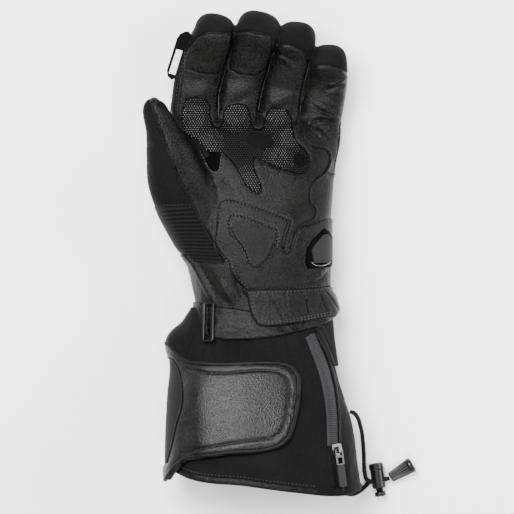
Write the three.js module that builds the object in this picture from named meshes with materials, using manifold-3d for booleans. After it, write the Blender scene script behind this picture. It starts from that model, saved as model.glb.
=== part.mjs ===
// Left-hand heated motorcycle glove with a long gauntlet cuff, lying on its back with the palm up.
// Millimetres. X runs from the thumb to the little finger, Y from the cuff to the fingertips, Z up.

import * as THREE from 'three';
import { mergeVertices } from 'three/addons/utils/BufferGeometryUtils.js';
import Module from 'manifold-3d';

const wasm = await Module();
wasm.setup();

// Driving sizes
const wall = 3; // outer cloth or leather, insulation and lining together
const gap = 0.3; // clearance that neighbouring pieces keep
const patch = 1.2; // leather laid over the main skin
const knuckleLine = 91; // where the fingers leave the hand
const wristSeam = -36; // where the gauntlet is sewn to the hand
const hemLeft = { x: -57, y: -145.9 }; // the cuff's slanting lower edge, thumb side
const hemRight = { x: 74.8, y: -162.9 }; // the same edge, little-finger side
const sideSeam = 26; // height of the seam between palm leather and back cloth
const cordRadius = 1.5;

// Colours of the real materials
const finish = (color, roughness, metalness = 0) =>
  new THREE.MeshStandardMaterial({ color, roughness, metalness });
const leather = finish(0x1d1c1b, 0.48);
const glossLeather = finish(0x35322e, 0.36);
const gripLeather = finish(0x161616, 0.55);
const backCloth = finish(0x141416, 0.88);
const ribbedCloth = finish(0x17181a, 0.85);
const insertCloth = finish(0x26282a, 0.8);
const zipTape = finish(0x3c3e40, 0.6);
const sliderPlastic = finish(0x3f4042, 0.45);
const framePlastic = finish(0x08080a, 0.2);
const ringMetal = finish(0x2b2c2e, 0.35, 0.9);
const zipMetal = finish(0x9a9c9e, 0.35, 1);
const lockPlastic = finish(0x0c0c0d, 0.4);
const cordBraid = finish(0x121213, 0.8);
const labelWhite = finish(0xe8e8e6, 0.6);

const glove = new THREE.Group();

// Half-width, depth and position of the hand and cuff at each distance along the glove.
// low is the flat underside, high the crown of the palm side.
const bodyTable = [
  { y: -164, left: -57, right: 73.5, low: 2.2, high: 82 },
  { y: -142, left: -56.5, right: 71.2, low: 2.2, high: 80 },
  { y: -121, left: -55.5, right: 68.5, low: 2.2, high: 77 },
  { y: -101, left: -53, right: 64.5, low: 2.4, high: 72 },
  { y: -81, left: -49, right: 60.5, low: 3, high: 66 },
  { y: -64, left: -44, right: 57, low: 4, high: 60 },
  { y: -47, left: -39.5, right: 54, low: 5, high: 55 },
  { y: -33, left: -38.5, right: 52.8, low: 4.5, high: 54 },
  { y: -23, left: -41, right: 52.5, low: 3, high: 55 },
  { y: -9, left: -44, right: 53, low: 1, high: 56 },
  { y: 8, left: -47, right: 53.2, low: 0, high: 56 },
  { y: 25, left: -50, right: 54, low: 0, high: 54 },
  { y: 42, left: -52, right: 55.2, low: 0, high: 51 },
  { y: 62, left: -54.5, right: 57.5, low: 0, high: 46.5 },
  { y: 79, left: -56, right: 60.5, low: 0, high: 40 },
  { y: 91, left: -56.5, right: 61, low: 1.5, high: 34.5 },
];

// The closing flap wraps from the back round the thumb side, and its upper edge stands off there.
const flapTable = [
  { y: -160, left: -60.5, right: 78, low: 3, high: 85 },
  { y: -125, left: -60, right: 73, low: 3, high: 80.8 },
  { y: -95, left: -58.5, right: 67, low: 3, high: 73.9 },
  { y: -78, left: -57, right: 64, low: 3, high: 69 },
  { y: -62, left: -59.5, right: 61, low: 3, high: 64.5 },
];

// Each digit from its root inside the hand to its tip: centre line, half-width and half-depth.
// The last row is the very end, and the row before it is the centre of the rounded tip.
const digitTable = {
  index: {
    facing: 18,
    folds: [0.42, 0.66],
    rows: [
      { x: -40, y: 79, z: 18, wide: 16.2, deep: 14.8 },
      { x: -40.2, y: 96, z: 18.5, wide: 16, deep: 14.8 },
      { x: -36.8, y: 118.7, z: 22.5, wide: 15.6, deep: 14.2 },
      { x: -32.6, y: 131, z: 27.5, wide: 15.6, deep: 13.8 },
      { x: -29.6, y: 141, z: 34, wide: 15.2, deep: 13.4 },
      { x: -27.8, y: 148, z: 40, wide: 14.4, deep: 12.8 },
      { x: -26.6, y: 157.5, z: 49, wide: 14.4, deep: 12.8 },
    ],
  },
  middle: {
    facing: 0,
    folds: [0.42, 0.66],
    rows: [
      { x: -10.2, y: 79, z: 18, wide: 13.8, deep: 14.8 },
      { x: -9.9, y: 96, z: 18.5, wide: 13.8, deep: 14.6 },
      { x: -6.1, y: 118.7, z: 22, wide: 14, deep: 14.2 },
      { x: -2.4, y: 131, z: 27, wide: 14, deep: 13.8 },
      { x: 0.6, y: 143, z: 34.5, wide: 14.4, deep: 13.4 },
      { x: 2.4, y: 150, z: 41, wide: 14.6, deep: 13 },
      { x: 4.4, y: 158.6, z: 49.5, wide: 14.6, deep: 13 },
    ],
  },
  ring: {
    facing: 8,
    folds: [0.42, 0.66],
    rows: [
      { x: 18.4, y: 79, z: 18, wide: 13.7, deep: 14.4 },
      { x: 18.6, y: 96, z: 18.5, wide: 13.6, deep: 14.2 },
      { x: 22.6, y: 115, z: 22, wide: 13.5, deep: 13.8 },
      { x: 25.8, y: 126, z: 26.5, wide: 13.4, deep: 13.4 },
      { x: 28.4, y: 136, z: 32.5, wide: 13.2, deep: 13 },
      { x: 29.6, y: 143, z: 38.5, wide: 12.8, deep: 12.4 },
      { x: 30.4, y: 151.8, z: 47.5, wide: 12.8, deep: 12.4 },
    ],
  },
  little: {
    facing: 14,
    folds: [0.42, 0.66],
    rows: [
      { x: 46.6, y: 79, z: 18, wide: 13.6, deep: 13.6 },
      { x: 47.6, y: 95, z: 19, wide: 13.8, deep: 13.4 },
      { x: 50, y: 110, z: 22, wide: 13.6, deep: 12.8 },
      { x: 51.4, y: 118, z: 25.5, wide: 13.2, deep: 12.4 },
      { x: 52, y: 124, z: 29.5, wide: 12.6, deep: 12 },
      { x: 52, y: 129, z: 34, wide: 12, deep: 11.6 },
      { x: 51.6, y: 137, z: 42, wide: 12, deep: 11.6 },
    ],
  },
  thumb: {
    facing: 90,
    folds: [0.62, 0.78],
    rows: [
      { x: -24, y: -10, z: 28, wide: 17, deep: 14 },
      { x: -30, y: 5, z: 31, wide: 20, deep: 17 },
      { x: -38, y: 20, z: 34, wide: 21, deep: 18 },
      { x: -45, y: 35, z: 38, wide: 21.4, deep: 17.5 },
      { x: -51, y: 50, z: 43, wide: 20.2, deep: 16.5 },
      { x: -56.6, y: 69, z: 49.5, wide: 15.6, deep: 14 },
      { x: -62.4, y: 87, z: 54.5, wide: 10.4, deep: 10 },
      { x: -69.2, y: 104, z: 58, wide: 10.4, deep: 10 },
    ],
  },
};
const fingerNames = ['index', 'middle', 'ring', 'little'];

const bodySquareness = 2.4; // exponent of the hand and cuff section, 2 being an ellipse
const sag = 3; // how far the round underside would bulge below its flat

// Solids from three.js geometry

function solidOf(geometry) {
  const bare = geometry.index ? geometry.toNonIndexed() : geometry;
  const positions = new THREE.BufferGeometry();
  positions.setAttribute('position', bare.getAttribute('position'));
  const merged = mergeVertices(positions, 1e-4);
  return new wasm.Manifold(
    new wasm.Mesh({
      numProp: 3,
      vertProperties: new Float32Array(merged.attributes.position.array),
      triVerts: new Uint32Array(merged.index.array),
    }),
  );
}

function reshaped(geometry, move) {
  const position = geometry.getAttribute('position');
  const point = new THREE.Vector3();
  for (let i = 0; i < position.count; i += 1) {
    point.fromBufferAttribute(position, i);
    const moved = move(point);
    position.setXYZ(i, moved.x, moved.y, moved.z);
  }
  return geometry;
}

function piece(name, solid, material, parent = glove) {
  const mesh = solid.getMesh();
  const geometry = new THREE.BufferGeometry();
  const positions = new THREE.BufferAttribute(new Float32Array(mesh.vertProperties), 3);
  geometry.setAttribute('position', positions);
  geometry.setIndex(new THREE.BufferAttribute(new Uint32Array(mesh.triVerts), 1));
  geometry.computeVertexNormals();
  const made = new THREE.Mesh(geometry, material);
  made.name = name;
  parent.add(made);
  return made;
}

function largest(solid) {
  const bodies = solid.decompose();
  return bodies.reduce((best, body) => (body.volume() > best.volume() ? body : best));
}

// The columns of a section table, read at any distance along it.
const edgeNames = ['left', 'right', 'low', 'high'];
function sectionReader(table) {
  const stations = table.map((row) => row.y);
  const values = table.flatMap((row) => edgeNames.map((name) => row[name]));
  const reader = new THREE.LinearInterpolant(stations, values, edgeNames.length);
  return (y) => {
    const read = reader.evaluate(THREE.MathUtils.clamp(y, stations[0], stations[stations.length - 1]));
    return Object.fromEntries(edgeNames.map((name, i) => [name, read[i]]));
  };
}
const bodyAt = sectionReader(bodyTable);
const flapAt = sectionReader(flapTable);

const squared = (value) => Math.sign(value) * Math.abs(value) ** (2 / bodySquareness);

// A length of the hand and cuff. grow offsets it, and may be a number or a function of x and y.
// Its rings lie at the rows of the section table, so that layers over each other have the same facets.
function bodyForm({ grow = 0, from, to, sides = 22, table = bodyTable, sectionAt = bodyAt }) {
  const growAt = typeof grow === 'function' ? grow : () => grow;
  const rings = [from, ...table.map((row) => row.y).filter((y) => y > from && y < to), to];
  const geometry = new THREE.CylinderGeometry(1, 1, 1, sides, rings.length - 1);
  return solidOf(
    reshaped(geometry, (p) => {
      const y = rings[Math.round((p.y + 0.5) * (rings.length - 1))];
      const { left, right, low, high } = sectionAt(y);
      const centre = new THREE.Vector2((left + right) / 2, (high + low - sag) / 2);
      const across = squared(p.x) * ((right - left) / 2);
      const extra = growAt(centre.x + across, y);
      const halfWide = (right - left) / 2 + extra;
      const halfDeep = (high - low + sag) / 2 + extra;
      const x = centre.x + squared(p.x) * halfWide;
      const z = centre.y + squared(p.z) * halfDeep;
      return new THREE.Vector3(x, y, Math.max(z, low - extra));
    }),
  );
}

// Height of the palm-side surface of the hand and cuff, grown by an offset.
function bodyTop(x, y, grow = 0) {
  const { left, right, low, high } = bodyAt(y);
  const halfWide = (right - left) / 2 + grow;
  const halfDeep = (high - low + sag) / 2 + grow;
  const share = Math.min(Math.abs(x - (left + right) / 2) / halfWide, 1);
  const rise = (1 - share ** bodySquareness) ** (1 / bodySquareness);
  return (high + low - sag) / 2 + halfDeep * rise;
}

// The frame and size of a digit at a share of the way along its centre line.
function digitAt(digit, share, grow = 0) {
  const { rows } = digit;
  const centreLine = new THREE.CatmullRomCurve3(rows.map((r) => new THREE.Vector3(r.x, r.y, r.z)));
  const sizes = new THREE.CatmullRomCurve3(rows.map((r) => new THREE.Vector3(r.wide, r.deep, 0)));
  const tipStart = (rows.length - 2) / (rows.length - 1);
  const inTip = Math.max(0, (share - tipStart) / (1 - tipStart));
  const centre = centreLine.getPoint(Math.min(share, tipStart));
  const tangent = centreLine.getTangent(Math.min(share, tipStart));
  const tipCentre = rows[rows.length - 2];
  const end = rows[rows.length - 1];
  const tipLength = Math.hypot(end.x - tipCentre.x, end.y - tipCentre.y, end.z - tipCentre.z);
  centre.addScaledVector(tangent, inTip * (tipLength + grow));
  const side = new THREE.Vector3().crossVectors(tangent, new THREE.Vector3(0, 0, 1)).normalize();
  const up = new THREE.Vector3().crossVectors(side, tangent);
  const size = sizes.getPoint(Math.min(share, tipStart));
  const round = Math.max(0.14, Math.sqrt(Math.max(0, 1 - inTip ** 2)));
  return { centre, tangent, side, up, wide: (size.x + grow) * round, deep: (size.y + grow) * round };
}

const foldDepth = 1.1;
const foldHalfWidth = 0.035; // as a share of the digit's length

// Where the rings of a digit lie: evenly along it, closer at its folds and round its tip.
function ringShares(digit, { even, tip, folded }) {
  const tipStart = (digit.rows.length - 2) / (digit.rows.length - 1);
  const shares = [];
  for (let i = 0; i < even; i += 1) shares.push((tipStart * i) / even);
  for (let i = 0; i <= tip; i += 1) {
    const turn = ((Math.PI / 2) * i) / tip;
    shares.push(tipStart + (1 - tipStart) * Math.sin(turn));
  }
  if (folded) digit.folds.forEach((f) => shares.push(f - foldHalfWidth, f, f + foldHalfWidth));
  return shares.sort((a, b) => a - b);
}

// A digit as one closed solid, creased across its palm side where it bends.
function digitForm(digit, { grow = 0, sides = 10, even = 3, tip = 3, folded = true, ripple } = {}) {
  const shares = ringShares(digit, { even, tip, folded });
  const last = shares.length - 1;
  const geometry = new THREE.CylinderGeometry(1, 1, 1, sides, last);
  return solidOf(
    reshaped(geometry, (p) => {
      const share = shares[Math.round((p.y + 0.5) * last)];
      const extra = ripple ? grow + ripple(share) : grow;
      const { centre, side, up, wide, deep } = digitAt(digit, share, extra);
      const crease = digit.folds.reduce(
        (sum, f) => sum + Math.exp(-(((share - f) / (foldHalfWidth * 0.8)) ** 2)),
        0,
      );
      const creased = folded ? Math.max(0, p.z) * foldDepth * crease : 0;
      return centre.addScaledVector(side, p.x * wide).addScaledVector(up, p.z * deep - creased);
    }),
  );
}

// A square bar that follows a digit, turned about its centre line, from one share to another.
// u runs across it and v out of its facing side. fromRim counts u from a share of the half-width.
function digitBar(digit, { u, v, shares, turn = 0, steps = 7, fromRim = 0 }) {
  const geometry = new THREE.BoxGeometry(1, 1, 1, 1, steps, 1);
  const angle = THREE.MathUtils.degToRad(turn);
  return solidOf(
    reshaped(geometry, (p) => {
      const share = THREE.MathUtils.lerp(shares[0], shares[1], p.y + 0.5);
      const { centre, side, up, wide } = digitAt(digit, share);
      const across = THREE.MathUtils.lerp(u[0], u[1], p.x + 0.5) + fromRim * wide;
      const out = THREE.MathUtils.lerp(v[0], v[1], p.z + 0.5);
      const alongSide = across * Math.cos(angle) + out * Math.sin(angle);
      const alongUp = out * Math.cos(angle) - across * Math.sin(angle);
      return centre.addScaledVector(side, alongSide).addScaledVector(up, alongUp);
    }),
  );
}

// An upright prism over an outline given as [x, y] corners.
function prism(corners, low = -5, high = 110) {
  const shape = new THREE.Shape(corners.map(([x, y]) => new THREE.Vector2(x, y)));
  const geometry = new THREE.ExtrudeGeometry(shape, { depth: high - low, bevelEnabled: false });
  geometry.translate(0, 0, low);
  return solidOf(geometry);
}

// The outline moved outwards, or inwards if the distance is negative.
function offsetOutline(corners, distance) {
  const points = corners.map(([x, y]) => new THREE.Vector2(x, y));
  const turn = THREE.ShapeUtils.isClockWise(points) ? -1 : 1;
  return points.map((p, i) => {
    const before = points[(i + points.length - 1) % points.length];
    const after = points[(i + 1) % points.length];
    const along = after.clone().sub(before).normalize();
    return [p.x + turn * distance * along.y, p.y - turn * distance * along.x];
  });
}

// The outline of a ribbon of one width along a line of [x, y] points.
function ribbon(points, halfWidth, count = 14) {
  const curve = new THREE.SplineCurve(points.map(([x, y]) => new THREE.Vector2(x, y)));
  const edge = (side) =>
    Array.from({ length: count + 1 }, (_, i) => {
      const p = curve.getPoint(i / count);
      const t = curve.getTangent(i / count);
      return [p.x - side * halfWidth * t.y, p.y + side * halfWidth * t.x];
    });
  return [...edge(1), ...edge(-1).reverse()];
}

// A layer of material over the hand or cuff, cut to an outline seen from the palm side.
function layer(corners, { from, to, lift = gap, thick = patch, above = sideSeam }) {
  const outer = bodyForm({ grow: lift + thick, from: from - 2, to: to + 2 });
  const inner = bodyForm({ grow: lift, from: from - 4, to: to + 4 });
  return largest(outer.subtract(inner).intersect(prism(corners, above)));
}

// The main skin: hand, digits and cuff, hollow right through

const hollowBody = bodyForm({ grow: -wall, from: -175, to: knuckleLine - wall, sides: 14 });
const hollows = Object.values(digitTable).reduce(
  (sum, digit) =>
    sum.add(digitForm(digit, { grow: -wall, sides: 6, even: 3, tip: 2, folded: false })),
  hollowBody,
);

const hand = bodyForm({ from: wristSeam, to: knuckleLine }).subtract(hollows);
const grownHand = bodyForm({ grow: gap, from: wristSeam - 4, to: knuckleLine + gap });
const palmBlock = (low) => prism([[-90, -60], [90, -60], [90, 120], [-90, 120]], low, 120);

const thumbSize = { even: 3, sides: 12 };
const thumbForm = digitForm(digitTable.thumb, thumbSize);
const thumbGrown = digitForm(digitTable.thumb, { ...thumbSize, grow: gap });
const palmSkin = hand.intersect(palmBlock(sideSeam + gap / 2)).subtract(thumbGrown);
const backSkin = hand.subtract(palmBlock(sideSeam - gap / 2)).subtract(thumbGrown);
piece('palm_leather', largest(palmSkin), leather);
piece('back_cloth', largest(backSkin), backCloth);

const digitForms = { thumb: largest(thumbForm.subtract(hollowBody)) };
fingerNames.forEach((name, i) => {
  const beyondHand = digitForm(digitTable[name]).trimByPlane([0, 1, 0], knuckleLine + gap);
  const neighbour = digitTable[fingerNames[i - 1]];
  digitForms[name] = neighbour
    ? beyondHand.subtract(digitForm(neighbour, { grow: gap * 1.5 }))
    : beyondHand;
});

// Each digit is a leather palm side and a cloth back that wraps over the tip.
Object.entries(digitTable).forEach(([name, digit]) => {
  const shell = digitForms[name].subtract(hollows);
  const tipStart = (digit.rows.length - 2) / (digit.rows.length - 1);
  const facingBar = (inset) =>
    digitBar(digit, {
      u: [-40, 40],
      v: [inset, 34],
      shares: [0, tipStart - inset / 80],
      turn: digit.facing,
    });
  piece(`${name}_palm_side`, largest(shell.intersect(facingBar(gap / 2))), leather);
  piece(`${name}_back_side`, largest(shell.subtract(facingBar(-gap / 2))), backCloth);
});

const hemSlope = (hemRight.y - hemLeft.y) / (hemRight.x - hemLeft.x);
const hemAt = (x) => hemLeft.y + hemSlope * (x - hemLeft.x);
const beyond = 40;
const aboveHem = (distance) =>
  prism([
    [hemLeft.x - beyond, hemAt(hemLeft.x - beyond) + distance],
    [hemRight.x + beyond, hemAt(hemRight.x + beyond) + distance],
    [hemRight.x + beyond, knuckleLine],
    [hemLeft.x - beyond, knuckleLine],
  ]);
const cuffForm = bodyForm({ from: -174, to: wristSeam - gap });
piece('gauntlet_cuff', cuffForm.subtract(hollowBody).intersect(aboveHem(0)), backCloth);

// Leather and cloth laid over the palm side of the hand

// The hand with its finger roots, or with the thumb, grown by an offset.
function palmSurface(grow, names, options = {}) {
  const form = bodyForm({ grow, from: wristSeam, to: knuckleLine + grow, ...options });
  return names.reduce((sum, name) => sum.add(digitForm(digitTable[name], { grow, ...options })), form);
}

const gripOutline = [
  [-48.5, 90], [-44, 102.5], [-40, 105], [-31.5, 104.5], [-28.5, 97.5], [-28, 88], [-23, 83.5],
  [-18.5, 87.5], [-17, 96], [-13, 101], [-6, 101.5], [-1.5, 97], [0, 86.5], [3.5, 83.5], [7, 84],
  [9.5, 90], [11.5, 96], [17, 100.5], [26, 99.5], [30.5, 94], [30.5, 87.5], [28, 81.5], [30, 74],
  [36.5, 71], [41, 65.5], [40, 57], [35.5, 51.5], [28.5, 51.5], [20.5, 58], [11.5, 63], [3.5, 61.5],
  [7, 52], [7, 42], [4, 38.5], [-3.5, 42.5], [-9, 52.5], [-14.5, 61.5], [-19.5, 67.5], [-34.5, 69.5],
  [-38, 71.5], [-47, 81.5],
];
const gripNames = ['index', 'middle', 'ring'];
const gripLayer = palmSurface(gap + patch, gripNames).subtract(palmSurface(gap, gripNames));
piece('grip_patch', largest(gripLayer.intersect(prism(gripOutline, sideSeam))), gripLeather);

const heelOutline = [
  [-21, 35], [-15.5, 35.5], [2.5, 30.5], [26, 22], [24, 15.5], [21, 3.5], [22, -1], [25, -2.5],
  [27.5, 1], [30.5, 13.5], [34, 16.5], [42, 21], [44.5, 26], [41, 34.5], [40.5, 42.5], [43.5, 49.5],
  [50.5, 54.5], [53, 59.5], [53, 68.5], [66.5, 69], [66.5, -24], [53.5, -24], [-2, -26.5],
  [-5.5, -23.5], [-14.5, -8.5], [-19.5, -0.5], [-24.5, 10.5], [-24, 21.5],
];
const insetOutline = [
  [-13, 23.5], [1.5, 18.5], [14.5, 14.5], [17, 10], [15.5, 2.5], [10, -7], [3.5, -11], [-1.5, -7],
  [-4, 1.5], [-9.5, 10], [-14.5, 14.5],
];
const sliderOutline = [
  [47.5, 16], [52.5, 16], [63, 8], [63, -7], [53, -11], [40, -12], [36.5, -8.5], [36.5, 0.5], [41, 8],
];
const sliderFaceOutline = [
  [49, 12.5], [52.5, 10.5], [63, 4.5], [63, -5], [51.5, -8], [41.5, -8.5], [40, -1.5], [41.5, 3],
];
const frameLift = gap * 2 + patch;
const frameThick = 2.4;

const heel = layer(heelOutline, { from: -28, to: 70 });
piece('heel_patch', largest(heel.subtract(thumbGrown)), leather);
piece('heel_insert', layer(insetOutline, { from: -12, to: 24, lift: frameLift, thick: 0.9 }), insertCloth);
const sliderFrame = layer(sliderOutline, { from: -13, to: 17, lift: frameLift, thick: frameThick });
const framed = sliderFrame.subtract(prism(offsetOutline(sliderFaceOutline, gap)));
piece('slider_frame', largest(framed), framePlastic);
const faceLift = { lift: frameLift, thick: frameThick + 0.5 };
piece('palm_slider', layer(sliderFaceOutline, { from: -10, to: 14, ...faceLift }), sliderPlastic);

// A dark gore fills the crotch between thumb and palm.
const gussetOutline = [
  [-34, 68], [-28, 66.5], [-20.5, 65.5], [-21, 60], [-22.5, 55.5], [-27, 53.5], [-30, 55.5], [-33, 63],
];
const gusset = layer(gussetOutline, { from: 52, to: 70 });
piece('thumb_gusset', largest(gusset.subtract(thumbGrown)), backCloth);

// Pleats that let the thumb bend, over its root and the edge of the hand
const pleatPitch = 3.2;
const pleatDepth = 0.55;
const ribOutline = [
  [-72, 32], [-62.5, 33], [-51.5, 32], [-42.5, 33], [-38, 25.5], [-32, 13.5], [-28, 5], [-36, 3],
  [-47, 0], [-60, 4], [-72, 18],
];
const thumbLength = 135;
const ribLift = gap + 1.1;
const ribOuter = digitForm(digitTable.thumb, {
  even: 62,
  sides: 12,
  folded: false,
  grow: ribLift,
  ripple: (share) => pleatDepth * Math.sin((2 * Math.PI * share * thumbLength) / pleatPitch),
});
const ribBand = ribOuter.subtract(thumbGrown).subtract(grownHand);
piece('thumb_pleats', largest(ribBand.intersect(prism(ribOutline, 32))), ribbedCloth);

// Leather pads over the finger ends
const padOutlines = {
  index: [
    [-13.6, 146], [-22, 149], [-31.5, 147.5], [-38.5, 142.5], [-42.5, 134.5], [-44, 127],
    [-36, 122.5], [-25, 124], [-19, 129], [-15.8, 138.5],
  ],
  middle: [
    [-11, 144.5], [-6.5, 149], [3, 149.5], [10.5, 147], [13.5, 141], [11.5, 133], [9, 125.5],
    [0, 122], [-9, 124], [-13.5, 129.5], [-12.5, 138.5],
  ],
};
Object.entries(padOutlines).forEach(([name, corners]) => {
  const digit = digitTable[name];
  const pad = digitForm(digit, { grow: gap + patch }).subtract(digitForm(digit, { grow: gap }));
  const clear = name === 'index' ? pad.subtract(digitForm(digitTable.middle, { grow: 2 })) : pad;
  piece(`${name}_tip_pad`, largest(clear.intersect(prism(corners, 30))), leather);
});

// A pull tab of webbing sewn into the index finger's outer seam, with a plain white label
const tabPlace = { turn: 0, fromRim: -0.95, steps: 5 };
const pullTab = digitBar(digitTable.index, {
  ...tabPlace, u: [-6.6, -gap], v: [4.6, 6.2], shares: [0.33, 0.75],
});
const tabLabel = digitBar(digitTable.index, {
  ...tabPlace, u: [-5.8, -1.4], v: [6.5, 6.9], shares: [0.4, 0.62],
});
piece('finger_tab', pullTab, backCloth);
piece('tab_label', tabLabel, labelWhite);

// The wrist: a strap through a metal ring, and a gathered elastic band over its end

const strapLift = 0.5;
const strapThick = 1.8;
const strapBand = { from: -64, to: -34, lift: strapLift, thick: strapThick, above: 14 };
const keeperOutline = [
  [-50, -36.5], [-41.5, -37], [-29.6, -38.5], [-29.6, -60], [-38, -57.5], [-45, -55.5], [-50, -55.5],
];
const strapOutline = [
  [-25.4, -40.5], [-1.5, -41], [32.5, -41], [53, -38.5], [64, -37], [64, -44.5], [47.5, -49.5],
  [32.5, -57], [15.5, -60], [-5, -62], [-25.4, -62],
];

// A flat frame that lies on the palm side at one place, with X across, Y along and Z out of it.
function surfaceFrame(x, y, heading, height) {
  const step = 0.5;
  const z = bodyTop(x, y);
  const slopeX = (bodyTop(x + step, y) - bodyTop(x - step, y)) / (2 * step);
  const slopeY = (bodyTop(x, y + step) - bodyTop(x, y - step)) / (2 * step);
  const out = new THREE.Vector3(-slopeX, -slopeY, 1).normalize();
  const turn = THREE.MathUtils.degToRad(heading);
  const flatAlong = new THREE.Vector3(-Math.sin(turn), Math.cos(turn), 0);
  const along = flatAlong.addScaledVector(out, -flatAlong.dot(out)).normalize();
  const across = new THREE.Vector3().crossVectors(along, out);
  const origin = new THREE.Vector3(x, y, z).addScaledVector(out, height);
  return new THREE.Matrix4().makeBasis(across, along, out).setPosition(origin);
}

function rectangle(wide, long, radius, y = 0) {
  const shape = new THREE.Shape();
  const [x0, x1, y0, y1] = [-wide / 2, wide / 2, y - long / 2, y + long / 2];
  const quarter = Math.PI / 2;
  shape.absarc(x1 - radius, y1 - radius, radius, 0, quarter, false);
  shape.absarc(x0 + radius, y1 - radius, radius, quarter, 2 * quarter, false);
  shape.absarc(x0 + radius, y0 + radius, radius, 2 * quarter, 3 * quarter, false);
  shape.absarc(x1 - radius, y0 + radius, radius, 3 * quarter, 4 * quarter, false);
  return shape;
}

// An outline with holes, pulled up from z = low, then placed by a matrix.
function plate(shape, low, thick, matrix, curveSegments = 2) {
  const geometry = new THREE.ExtrudeGeometry(shape, { depth: thick, bevelEnabled: false, curveSegments });
  geometry.translate(0, 0, low).applyMatrix4(matrix);
  return solidOf(geometry);
}

const ringPlace = surfaceFrame(-27.5, -49, 6, 2.7);
const ringSize = { wide: 8.6, long: 28, bar: 1.7 };
const ringWindow = rectangle(ringSize.wide - 2 * ringSize.bar, ringSize.long - 2 * ringSize.bar, 0.6);
const ringShape = (grow) => {
  const shape = rectangle(ringSize.wide + 2 * grow, ringSize.long + 2 * grow, 1.6);
  if (grow === 0) shape.holes.push(ringWindow);
  return shape;
};
const strapRing = plate(ringShape(0), 0, ringSize.bar, ringPlace);
const ringRoom = plate(ringShape(gap), -1.8, ringSize.bar + 2.4, ringPlace);
piece('strap_ring', strapRing, ringMetal);
piece('strap_keeper', largest(layer(keeperOutline, strapBand).subtract(ringRoom)), leather);
piece('wrist_strap', largest(layer(strapOutline, strapBand).subtract(ringRoom)), glossLeather);

// The band rises from the hand to clear the strap, and its gathers run down it.
const gatherOutline = [
  [-3.5, -25.5], [53, -24], [66, -24], [67, -39], [62, -44], [44, -46], [19.5, -50], [9.5, -51],
  [3.5, -48.5], [-0.5, -42], [-2.5, -34.5],
];
const gatherPitch = 7.5;
const gatherDepth = 0.7;
const gatherThick = 1.7;
const gatherRise = (y) => {
  const share = THREE.MathUtils.smoothstep(-y, 23, 33);
  return THREE.MathUtils.lerp(gap, strapLift + strapThick + gap, share);
};
const flareRise = 2.6;
const flare = (x, y) => {
  const toEdge = THREE.MathUtils.smoothstep(x, 38, 54);
  return flareRise * toEdge * THREE.MathUtils.smoothstep(-y, 25, 42);
};
const gathers = (x, y) => gatherDepth * Math.sin((2 * Math.PI * (x - 0.45 * y)) / gatherPitch);
const gatherForm = (extra) => {
  const grow = (x, y) => gatherRise(y) + flare(x, y) + extra(x, y);
  return bodyForm({ grow, from: -56, to: -20, sides: 48 });
};
const gatherOuter = gatherForm((x, y) => gatherThick + gathers(x, y));
const gatherBand = gatherOuter.subtract(gatherForm(() => 0)).intersect(prism(gatherOutline, 20));
const heelRoom = bodyForm({ grow: gap * 2 + patch, from: -27.5, to: 0 });
piece('wrist_gather', largest(gatherBand.subtract(heelRoom)), leather);

// The cuff's closing flap, with a bound edge

const flapOutline = [
  [-75, -63.5], [-58, -67], [-50.5, -74.5], [-35.5, -78], [22.5, -78], [29.5, -81],
  [31.5, -88], [29, -118], [26, -127.5], [18, -131], [-1.5, -133.5],
  [-42, -142.5], [-57, -153], [-75, -154],
];
const flapThick = 2;
const bindingWidth = 4;
const flapForm = (grow) => bodyForm({ grow, from: -158, to: -62, table: flapTable, sectionAt: flapAt });
const flapRoom = bodyForm({ grow: gap, from: -170, to: -50 });
const flapShell = flapForm(0).subtract(flapForm(-flapThick)).subtract(flapRoom);
const flapFloor = 8;
const flapInside = prism(offsetOutline(flapOutline, -bindingWidth), flapFloor);
const flapEdgeRoom = prism(offsetOutline(flapOutline, -bindingWidth + gap), flapFloor - 1);
piece('cuff_flap', largest(flapShell.intersect(flapInside)), glossLeather);
const bindingRise = 0.5;
const bindingForm = flapForm(bindingRise).subtract(flapForm(-flapThick)).subtract(flapRoom);
const binding = bindingForm.intersect(prism(flapOutline, flapFloor)).subtract(flapEdgeRoom);
piece('flap_binding', largest(binding), leather);

// Bound lower edge of the cuff
const hemWidth = 7;
const hemLower = 1.2;
const hemOuter = bodyForm({ grow: 1.8, from: -176, to: -125 });
const hemInner = bodyForm({ grow: gap, from: -178, to: -123 });
const hemBand = hemOuter.subtract(hemInner).intersect(aboveHem(-hemLower)).subtract(aboveHem(hemWidth));
const underFlap = prism(offsetOutline(flapOutline, gap), flapFloor - gap);
const hemRoom = flapForm(bindingRise + gap).intersect(underFlap);
piece('hem_binding', largest(hemBand.subtract(hemRoom)), leather);

// The zip: a taped coil down the cuff, its slider, and a pull that swings on the slider's bridge

const zipLine = [
  [39.5, -62], [42.5, -68], [46, -80.5], [49.5, -97.5], [53, -114.5], [55, -128], [56, -140], [57, -151],
];
const zipEnd = -151;
const tape = { halfWide: 4, thick: 0.8, steps: 5 };
const tapeShape = ribbon(zipLine, tape.halfWide, tape.steps);
piece('zip_tape', layer(tapeShape, { from: zipEnd, to: -60, thick: tape.thick }), zipTape);
const slider = { x: 55.4, y: -134.5, heading: 7, wide: 8, long: 8.4, corner: 1.8, sunk: 3, top: 4.2 };
const coil = { halfWide: 1.7, thick: 0.9, end: [55.3, -129.5] };
const coilLine = zipLine.filter(([, y]) => y > coil.end[1] + 0.5).concat([coil.end]);
const coilShape = ribbon(coilLine, coil.halfWide, tape.steps);
const overTape = gap * 2 + tape.thick;
piece('zip_coil', layer(coilShape, { from: -130, to: -60, lift: overTape, thick: coil.thick }), zipTape);

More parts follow.
